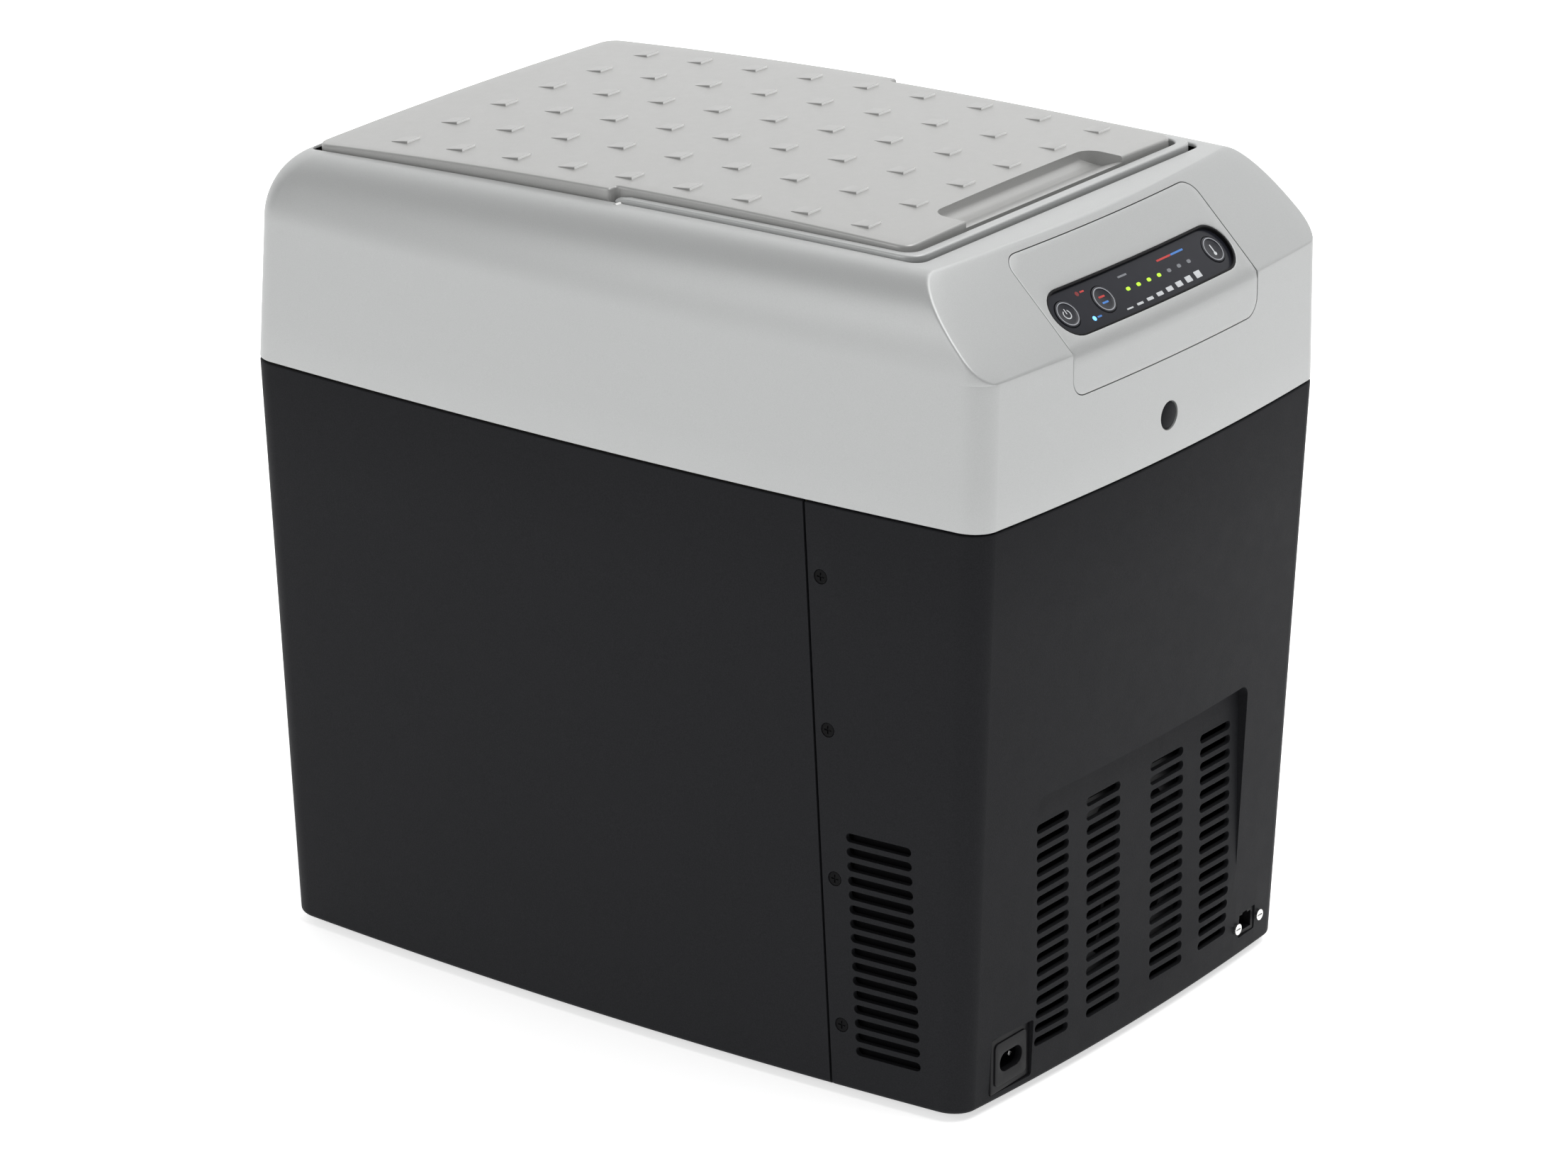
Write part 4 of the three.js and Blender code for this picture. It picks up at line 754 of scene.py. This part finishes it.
def build_upper_casing():
    low = SEAM["z"] + SEAM_GAP
    edge = bend(body_ring(low, LIP_EDGE), body_ring(low), body_ring(low + LIP_EDGE), 4)
    walls = [body_ring(z) for z in (low + 20, low + 45)]
    roll = roll_rings(0)
    rolled = trimmed(roll, EDGE_TRIM, RIM_TRIM, 22)
    foot = trimmed(roll, EDGE_TRIM, RIM_TRIM, 3)[0]
    shoulder = bend(body_ring(SHOULDER["z"] - EDGE_TRIM), roll[0], foot, 6)
    flat = trimmed([roll[-1], deck_points(RECESS, 0, 0, True)], RIM_TRIM, RECESS_LIP, 3)[0]
    crease = bend(rolled[-1], roll[-1], flat, 6, ends=False)
    obj = solid("upper_casing_shell",
                loft(edge + walls + shoulder + rolled[1:] + crease + [flat, rim_ring(0.0)]))
    inner_roll = roll_rings(WALL)
    hollow = solid("hollow", loft([body_ring(low - 6, WALL), body_ring(low + 30, WALL)]
                                  + [inner_roll[i] for i in HOLLOW_STEPS] + [rim_ring(WALL)]))
    boolean(hollow, "DIFFERENCE", loft([deck_points(RECESS, z, WALL) for z in (SEAT - WALL, 20)]))
    boolean(obj, "DIFFERENCE", hollow)
    recess = [deck_points(RECESS, SEAT)]
    recess += [deck_points(RECESS, -RECESS_LIP + RECESS_LIP * math.sin(a),
                           RECESS_LIP * (1 - math.cos(a)), True) for a in quarter_turn(5)]
    recess += [deck_points(RECESS, 0.3, RECESS_LIP + 0.3, True),
               deck_points(RECESS, 25, RECESS_LIP + 0.3)]
    boolean(obj, "DIFFERENCE", loft(recess))
    boolean(obj, "DIFFERENCE", loft([deck_points(MOUTH, z, MOUTH_GROW)
                                     for z in (SEAT - WALL - 5, 5)]))
    # A near-black sheet just inside the recess's wall and floor: painted shadow for the gap round
    # the lid.
    sheet_profile = [(-1.6, -0.02), (-1.6, -0.2), (SEAT + 0.5, -0.2), (SEAT + 0.5, -6.5),
              (SEAT + 0.05, -6.5), (SEAT + 0.05, -0.02)]
    shadow_sheet = loft([deck_points(RECESS, z, grow, z > -2) for z, grow in sheet_profile], torus=True)
    piece(mesh_object("recess_shadow_sheet", shadow_sheet), "cabinet", "black_rubber", SHADE_BLACK)
    boolean(obj, "DIFFERENCE", bezel_opening())
    plug_hole = circle(FRONT_PLUG["radius"] + 0.5, 0, FRONT_PLUG["z"], 48)
    plug_seat = -front_y(0, FRONT_PLUG["z"]) - FRONT_PLUG["sunk"]
    boolean(obj, "DIFFERENCE", prism(plug_hole, plug_seat, FAR, FORWARD))
    piece(obj, "cabinet", "silver_shell", SILVER, "upper_casing", sharp=34)


# ---------------------------------------------------------------- control panel
def panel_sheet(x, v):
    """Points on the front face and the slope above it, with a sharp fold between them."""
    t = np.clip(v, 0, None) / SLOPE_LENGTH
    k = np.sqrt(np.maximum(0, 1 - t * t))
    half_x = lerp(RIM["half_x"], SHOULDER["half_x"], k)
    bow = lerp(RIM["bow_y"], SHOULDER["bow_y"], k)
    y = -(lerp(SHOULDER["front"], RIM["front"], t) - bow * (x / half_x) ** 2)
    low_z = SHOULDER["z"] + np.clip(v, None, 0)
    below = blend_level(SEAM, SHOULDER, (low_z - SEAM["z"]) / (SHOULDER["z"] - SEAM["z"]))
    below_y = -(below["front"] - below["bow_y"] * (x / below["half_x"]) ** 2)
    return np.column_stack([x, np.where(v > 0, y, below_y),
                            np.where(v > 0, lerp(SHOULDER["z"], rim_height(y), t), low_z)])


def panel_skin(x, v):
    """Points on the casing's front: v is the height up the slope, and negative below the fold."""
    x, v = np.asarray(x, float), np.asarray(v, float)
    ahead, fold, behind = (panel_sheet(x, np.full_like(v, at)) for at in (-FOLD, 0.0, FOLD))
    t = np.clip((v + FOLD) / (2 * FOLD), 0, 1)[:, None]
    curve = (1 - t) ** 2 * ahead + 2 * t * (1 - t) * fold + t * t * behind
    return np.where((np.abs(v) < FOLD)[:, None], curve, panel_sheet(x, v))


def panel_place(x, v, depth):
    """Points below (or above) the casing's front, measured along its normal."""
    x, v = np.asarray(x, float), np.asarray(v, float)
    step = 0.3
    across = panel_skin(x + step, v) - panel_skin(x - step, v)
    up = panel_skin(x, v + step) - panel_skin(x, v - step)
    normal = np.cross(across, up)
    normal /= np.linalg.norm(normal, axis=1)[:, None]
    return panel_skin(x, v) - normal * np.asarray(depth, float)[:, None]


def panel_frame(x, v, depth):
    right = panel_skin([x + 1], [v])[0] - panel_skin([x - 1], [v])[0]
    up = panel_skin([x], [v + 1])[0] - panel_skin([x], [v - 1])[0]
    right, up = Vector(right).normalized(), Vector(up).normalized()
    out = right.cross(up).normalized()
    m = Matrix.Identity(4)
    for i, axis in enumerate((right, out.cross(right), out)):
        m[0][i], m[1][i], m[2][i] = axis
    m.translation = Vector(panel_place([x], [v], [depth])[0])
    return m


def bezel_loop(grow):
    half_x = BEZEL["half_x"] + grow
    return densify(rounded(-half_x, half_x, BEZEL["low"] - grow, BEZEL["high"] + grow,
                           BEZEL["corner"] + grow, 8), 4.0)


def window_loop(grow):
    return densify(stadium(WINDOW["half_x"] + grow, WINDOW["half"] + grow, 0, WINDOW["up"], 16),
                   4.0)


def bezel_opening():
    return plate([bezel_loop(0.35)], panel_place, -6.0, 8.0, round_top=0, spacing=6)


def build_bezel():
    part = plate([bezel_loop(-0.05), window_loop(0.3)[::-1]], panel_place, 0.0, 2.4, spacing=4)
    piece(mesh_object("bezel_plate", part), "cabinet", "silver_shell", SILVER, "control_bezel",
          sharp=40)
    # A near-black ledge behind the gap round the bezel: painted shadow in that gap.
    part = plate([bezel_loop(0.6), bezel_loop(-5)[::-1]], panel_place, 2.8, 4.2, round_top=0,
                 spacing=4)
    piece(mesh_object("bezel_ledge", part), "cabinet", "black_plastic", SHADE_BLACK)
    part = plate([window_loop(0.2), window_loop(-0.9)[::-1]], panel_place, 0.35, WINDOW["sunk"],
                 round_top=0.25, spacing=4)
    piece(mesh_object("window_surround", part), "cabinet", "black_plastic", BLACK)
    holes = [densify(circle(BUTTON["radius"] + BUTTON["gap"], x, BUTTON["up"], 40), 4)[::-1]
             for _, _, x in BUTTONS]
    part = plate([window_loop(0.1)] + holes, panel_place, WINDOW["sunk"],
                 WINDOW["sunk"] + WINDOW["thick"], round_top=0.0, spacing=4)
    piece(mesh_object("window_lens", part), "cabinet", "smoked_lens", LENS, "display_window",
          sharp=40)


def build_buttons():
    """Three round keys, each with a raised rim and a dished top."""
    r, top, under = BUTTON["radius"], BUTTON["proud"], -BUTTON["height"]
    dish_r, dish_top, soft = r - BUTTON["rim"], BUTTON["proud"] - 0.35, 0.5
    profile = [(0, under), (r - 0.2, under), (r, under + 0.2), (r, top - soft)]
    profile += [(r - soft + soft * math.cos(a), top - soft + soft * math.sin(a))
                for a in quarter_turn(4)[1:]]
    profile += [(dish_r, top - 0.05), (dish_r - 0.4, dish_top)]
    profile += [(r * k, dish_top - 0.35 * (1 - (k / 0.78) ** 2)) for k in (0.7, 0.5, 0.3, 0.15)]
    profile += [(0, top - 0.7)]
    for node_name, body, x in BUTTONS:
        part = lathe(profile, panel_frame(x, BUTTON["up"], WINDOW["sunk"]))
        piece(mesh_object(node_name + "_cap", part), body, "smoked_lens", KEY, node_name, sharp=40)


def decal(name, loop, mat, depth, body="cabinet", slot="smoked_lens", holes=()):
    loops = [np.asarray(loop)] + [np.asarray(hole)[::-1] for hole in holes]
    part = plate(loops, panel_place, depth - 0.08, depth + 0.02, round_top=0, spacing=4)
    piece(mesh_object(name, part), body, slot, mat)


def bar(x, v, half_x, half_v):
    r = min(0.25, half_x * 0.9, half_v * 0.9)
    return rounded(x - half_x, x + half_x, v - half_v, v + half_v, r, 3)


def build_prints():
    """Lights and plain symbols on the window, then the symbols on the keys."""
    glass, up = WINDOW["sunk"], BUTTON["up"]
    for i in range(LEDS["count"]):
        x = LEDS["first_x"] + i * LEDS["pitch"]
        mat, slot = (LIME, "led_green") if i < LEDS["lit"] else (DIM_PRINT, "smoked_lens")
        decal(f"level_mark_{i + 1}", stadium(1.55, 0.95, x, LEDS["up"], 8), mat, glass, slot=slot)
    for name, v, mat, slot in (("cool_lamp", 13.2, LED_BLUE, "led_blue"),
                               ("heat_lamp", 27.4, LED_RED, "led_red")):
        decal(name, circle(1.25, -47, v, 20), mat, glass, slot=slot)
    for name, x, v, half_x, half_v, mat in (("cool_bar", -43.0, 13.2, 1.6, 0.45, BLUE_PRINT),
                                            ("heat_bar", -43.0, 27.6, 1.6, 0.45, RED_PRINT),
                                            ("scale_bar", -11, 27, 3.6, 0.5, DIM_PRINT),
                                            ("warm_bar", 24, 26.6, 6.0, 0.5, RED_PRINT),
                                            ("cold_bar", 35.6, 26.6, 5.4, 0.5, BLUE_PRINT)):
        decal(name, bar(x, v, half_x, half_v), mat, glass)
    for i in range(STEP_BARS["count"]):
        x = lerp(STEP_BARS["first_x"], STEP_BARS["last_x"], i / (STEP_BARS["count"] - 1))
        half = 0.4 + 0.2 * i
        decal(f"step_bar_{i + 1}", bar(x, STEP_BARS["low"] + half, 2.5, half), PRINT, glass)
    rim_depth, top = glass - BUTTON["proud"] + 0.1, glass - BUTTON["proud"] + 0.62
    for node_name, body, x in BUTTONS:
        decal(node_name + "_rim_line", circle(6.35, x, up, 40), RIM_LINE, rim_depth, body,
              holes=[circle(5.85, x, up, 40)])
    power_x, mode_x, heat_x = (x for _, _, x in BUTTONS)
    start, end = 90 + 34, 450 - 34
    power_ring = (arc(power_x, up, 2.6, 2.6, start, end, 26)
                  + arc(power_x, up, 2.05, 2.05, end, start, 26))
    for name, loop, mat, body in (
            ("power_ring", power_ring, PRINT, "power_key"),
            ("power_stroke", bar(power_x, 21.6, 0.28, 1.5), PRINT, "power_key"),
            ("mode_blue", bar(mode_x, 18.4, 2.3, 0.5), BLUE_PRINT, "mode_key"),
            ("mode_red", bar(mode_x, 21.6, 2.3, 0.5), RED_PRINT, "mode_key"),
            ("heat_bulb", circle(1.05, heat_x, 17.8, 20), PRINT, "temperature_key"),
            ("heat_stem", bar(heat_x, 20.8, 0.42, 2.0), PRINT, "temperature_key")):
        decal(name, loop, mat, top, body)


def build_front_plug():
    z, r, edge, crown = (FRONT_PLUG[k] for k in ("z", "radius", "edge", "crown"))
    profile = [(0, -1.2), (r, -1.2), (r, edge)]
    profile += [(r * math.sin(a), edge + crown * math.cos(a))
                for a in map(math.radians, (78, 64, 50, 36, 22, 10))]
    profile += [(0, edge + crown)]
    place = Matrix.Translation((0, front_y(0, z) + FRONT_PLUG["sunk"], z)) @ FORWARD
    piece(mesh_object("front_plug_cap", lathe(profile, place)), "cabinet", "charcoal_shell",
          CHARCOAL, "front_plug", sharp=40)


# ---------------------------------------------------------------- lid
def lid_plan(inset=0.0):
    wide, narrow = LID["half_x"] - inset, LID["front_x"] - inset
    r = max(LID["corner"] - inset, 1.5)
    start, end, step = LID["front"] + inset, LID["rear"] - inset, LID["step_y"] + inset
    s = LID_STEP_TURN
    points = arc(wide - r, end - r, r, r, 0, 90, 8) + arc(r - wide, end - r, r, r, 90, 180, 8)
    points += arc(-wide + s, step + s, s, s, 180, 270, 4)
    points += arc(-narrow - s, step - s, s, s, 90, 0, 4)
    points += arc(r - narrow, start + r, r, r, 180, 270, 8)
    points += arc(narrow - r, start + r, r, r, 270, 360, 8)
    points += arc(narrow + s, step - s, s, s, 180, 90, 4)
    points += arc(wide - s, step + s, s, s, 270, 360, 4)
    return densify(points, 7.0)


def lid_top_z(x, y):
    lengthwise = np.maximum(0, 1 - ((y - LID_MIDDLE) / ARCH_SPAN) ** 2)
    across = 1 - (x / LID["half_x"]) ** 2
    return LID_EDGE + arch(y) + LID_CROWN_Y * lengthwise + LID_CROWN_X * across


def lid_place(shift=0.0, floor=LID_UNDER):
    """Depths near 0 follow the crowned top, and depths near UNDERSIDE the flat underside."""
    def place(x, y, depth):
        z = np.where(depth >= UNDERSIDE / 2, floor + (UNDERSIDE - depth),
                     lid_top_z(x, y) - shift - depth)
        return on_deck(np.column_stack([x, y, z]))
    return place


def scoop_tool(grow):
    edge = float(lid_top_z(0, LID["front"]))
    top, floor = edge + 8, edge - GRIP["deep"] - grow
    front, rear, half_x = LID["front"], GRIP["rear"] + grow, GRIP["half_x"] + grow
    profile = [(front - 10, floor + GRIP["lip"]), (front + 2, floor + GRIP["lip"])]
    profile += arc(rear - 9, floor + 5, 9, 5, 270, 352, 10)
    profile += [(rear, top), (front - 10, top)]
    points, faces = side_prism(profile, half_x)
    side = solid("side", (on_deck(points), faces))
    plan = rounded(-half_x, half_x, front - 30, rear, GRIP["corner"] + grow, 8)
    return boolean(side, "INTERSECT", prism(plan, -30, 30, DECK))


def build_lid():
    obj = solid("lid_shell", plate([lid_plan()], lid_place(), 0.0, UNDERSIDE, round_top=1.3,
                                   spacing=9, steps=5))
    under_scoop = obj.copy()
    under_scoop.data = obj.data.copy()
    bpy.context.scene.collection.objects.link(under_scoop)
    boolean(obj, "DIFFERENCE", plate([lid_plan(LID_SKIN)], lid_place(LID_SKIN, -20.0), 0.0,
                                     UNDERSIDE, round_top=0, spacing=9))
    boolean(under_scoop, "INTERSECT", scoop_tool(LID_SKIN))
    boolean(obj, "UNION", under_scoop)
    boolean(obj, "DIFFERENCE", scoop_tool(0))
    # The lid's top takes the darker copy of the silver paint: painted shade.
    piece(obj, "lid", "silver_shell", LID_SHADED_SILVER, "lid_top", sharp=34)

    def base_place(x, y, depth):
        return on_deck(np.column_stack([x, y, LID_UNDER + 0.5 - depth]))

    base = plate([lid_plan(LID_SKIN - 0.4)], base_place, 0.0, 0.7, round_top=0, round_bottom=0.3,
                 spacing=14)
    piece(mesh_object("lid_base_panel", base), "lid", "light_liner", LINER)


def tread(x, y):
    """A small ramp that rises towards the front, where it ends in a steep front face; build_treads
    gives that face a painted highlight.
    """
    half, soft, height = TREAD["size"] / 2, TREAD["soft"], TREAD["height"]
    back_z, front_z = float(lid_top_z(x, y + half)), float(lid_top_z(x, y - half))
    profile = np.array([(y + half, back_z - TREAD["buried"]), (y + half, back_z + 0.02),
                        (y - half + soft, front_z + height - 0.02),
                        (y - half + soft * 0.3, front_z + height - soft * 0.3),
                        (y - half, front_z + height - soft),
                        (y - half, front_z - TREAD["buried"])])
    rings = []
    for offset_x, drop in ((-half, 0.3), (-half + 0.3, 0.0), (half - 0.3, 0.0), (half, 0.3)):
        lowered = profile.copy()
        lowered[1:5, 1] -= drop * np.array([0.0, 1.0, 1.0, 0.5])
        rings.append(np.column_stack([np.full(len(lowered), x + offset_x), lowered]))
    points, faces = loft(rings)
    return on_deck(points), faces


def build_treads():
    middle = (TREAD["columns"] - 1) / 2
    parts = [tread((column - middle) * TREAD["pitch_x"], TREAD["first_y"] - row * TREAD["pitch"])
             for row in range(TREAD["rows"]) for column in range(TREAD["columns"])]
    # The tread tops take the darker copy of the silver paint: painted shade.
    obj = piece(mesh_object("lid_treads", join_parts(parts)), "lid", "silver_shell", LID_SHADED_SILVER,
                sharp=25)
    # The faces that point forwards get the near-white silver: a painted highlight.
    obj.data.materials.append(TREAD_HIGHLIGHT_SILVER)
    for face in obj.data.polygons:
        face.material_index = 1 if face.normal.y < -0.5 else 0


def build_handle():
    inner, outer, end, cut = (ARM[k] for k in ("inner", "outer", "end_y", "end_cut"))
    front, back, outer_r, inner_r = (BAR[k] for k in ("front", "back", "outer_r", "inner_r"))
    right_out = [(outer, y) for y in np.linspace(front + outer_r, end - cut, 26)]
    right_in = [(inner, y) for y in np.linspace(back + inner_r, end - cut, 26)]
    loop = [(-x, y) for x, y in right_out[:0:-1]]
    loop += arc(-outer + outer_r, front + outer_r, outer_r, outer_r, 180, 270, 8)
    loop += arc(outer - outer_r, front + outer_r, outer_r, outer_r, 270, 360, 8)[:-1]
    loop += right_out + [(outer - cut, end), (inner + cut, end)] + right_in[:0:-1]
    loop += arc(inner - inner_r, back + inner_r, inner_r, inner_r, 360, 270, 8)
    loop += arc(-inner + inner_r, back + inner_r, inner_r, inner_r, 270, 180, 8)[:-1]
    loop += [(-x, y) for x, y in right_in] + [(-inner - cut, end), (-outer + cut, end)]
    middle = (ARM["top"] + ARM["under"]) / 2

    def place(x, y, depth):
        """The arms' ends are rounded about the pivot, and stop short of a point."""
        reach = np.clip((y - ARM["pivot_y"]) / (end - ARM["pivot_y"]), 0, 0.97)
        z = middle + (ARM["top"] - depth - middle) * np.sqrt(1 - reach ** 2) + arch(y)
        return on_deck(np.column_stack([x, y, z]))

    part = plate([loop], place, 0.0, ARM["top"] - ARM["under"], round_top=1.1, round_bottom=0.8,
                 spacing=20)
    piece(mesh_object("handle_bail", part), "handle", "silver_shell", SILVER, "carry_handle",
          sharp=40)


# ---------------------------------------------------------------- sockets
def build_sockets():
    """The mains inlet: a plate with a raised boss round a figure-8 well."""
    face = front_y(AC["x"], AC["z"]) + 0.9

    def place(x, z, depth):
        return np.column_stack([AC["x"] + x, face + depth, AC["z"] + z])

    def eight(radius):
        return np.array(stadium(AC["pin_x"] + radius, radius, count=14))

    hole = eight(4.9)[::-1]
    rim = dict(AC, half_x=AC["half_x"] - 0.3, half_z=AC["half_z"] - 0.3, corner=1.4)
    part = plate([framed(rim), hole], place, 0.0, 3.0, round_top=0.6, spacing=4)
    piece(mesh_object("mains_inlet_plate", part), "cabinet", "black_plastic", BLACK, "ac_inlet")
    # The inside of the well is drawn in the near-black, darker than the plate's plastic: painted
    # shade in the recess.
    sleeve = plate([eight(6.0), hole], place, 2.9, 16.0, round_top=0, spacing=4)
    floor = plate([eight(6.0)], place, 16.0, 18.0, round_top=0, spacing=4)
    piece(mesh_object("mains_inlet_well", join_parts([sleeve, floor])), "cabinet",
          "black_plastic", SHADE_BLACK)
    lip = dict(AC, half_x=AC["half_x"] - 3.2, half_z=AC["half_z"] - 3.6, corner=2.6)
    part = plate([framed(lip, count=5), hole], place, -0.7, 0.3, round_top=0.3, spacing=4)
    piece(mesh_object("mains_inlet_boss", part), "cabinet", "black_plastic", BLACK)


build_lower_casing()
build_cover()
build_upper_casing()
build_bezel()
build_buttons()
build_prints()
build_front_plug()
build_lid()
build_treads()
build_handle()
build_sockets()


# ---------------------------------------------------------------- stage, in metres
def build_stage():
    """A white floor that curves up behind the box, across the camera's line of sight."""
    front, back, radius, top, half_x = -6.0, 2.2, 1.2, 6.0, 7.0
    profile = [(front, 0.0), (back, 0.0)]
    profile += [(back + radius * math.sin(a), radius - radius * math.cos(a))
                for a in map(math.radians, range(10, 91, 10))]
    profile += [(back + radius, top)]
    turn = Matrix.Rotation(CAMERA_TURN, 3, "Z")
    points = [tuple(turn @ Vector((side, y, z))) for side in (-half_x, half_x) for y, z in profile]
    count = len(profile)
    faces = [(i, count + i, count + i + 1, i + 1) for i in range(count - 1)]
    data = bpy.data.meshes.new("studio_floor")
    data.from_pydata(points, [], faces)
    data.polygons.foreach_set("use_smooth", [True] * len(data.polygons))
    floor = bpy.data.objects.new("studio_floor", data)
    bpy.context.scene.collection.objects.link(floor)
    data.materials.append(material("studio_white", (0.93, 0.93, 0.93), 0.8, spread=0.005, scale=5,
                                   emission=(1, 1, 1), glow=0.62))


def area(name, location, target, size, power):
    light = bpy.data.lights.new(name, "AREA")
    light.shape = "RECTANGLE"
    light.size, light.size_y = size
    light.energy = power
    obj = bpy.data.objects.new(name, light)
    obj.location = location
    aim = Vector(target) - Vector(location)
    obj.rotation_euler = aim.to_track_quat("-Z", "Y").to_euler()
    bpy.context.scene.collection.objects.link(obj)


build_stage()
area("overhead", (0.55, -0.25, 1.7), target=(0.1, -0.08, 0.3), size=(1.1, 1.1), power=9)
area("slope_bank", (0.0, -1.3, 2.5), target=(0, -0.1, 0.3), size=(1.4, 1.0), power=25)
area("left_bank", (-2.6, 0.9, 1.3), target=(0, 0, 0.25), size=(1.8, 1.6), power=20)

world = bpy.data.worlds.new("studio")
bpy.context.scene.world = world
world.use_nodes = True
world.node_tree.nodes["Background"].inputs["Color"].default_value = (1, 1, 1, 1)
world.node_tree.nodes["Background"].inputs["Strength"].default_value = 0.23

camera_data = bpy.data.cameras.new("camera")
camera_data.lens = 144.1
camera_data.sensor_width = 36
camera = bpy.data.objects.new("camera", camera_data)
camera.location = (-2.3408, -1.7298, 1.278)
camera.rotation_euler = (math.radians(90 - 20.61), 0, CAMERA_TURN)
bpy.context.scene.collection.objects.link(camera)
bpy.context.scene.camera = camera
bpy.context.scene.view_settings.view_transform = "Standard"

bpy.context.view_layer.update()
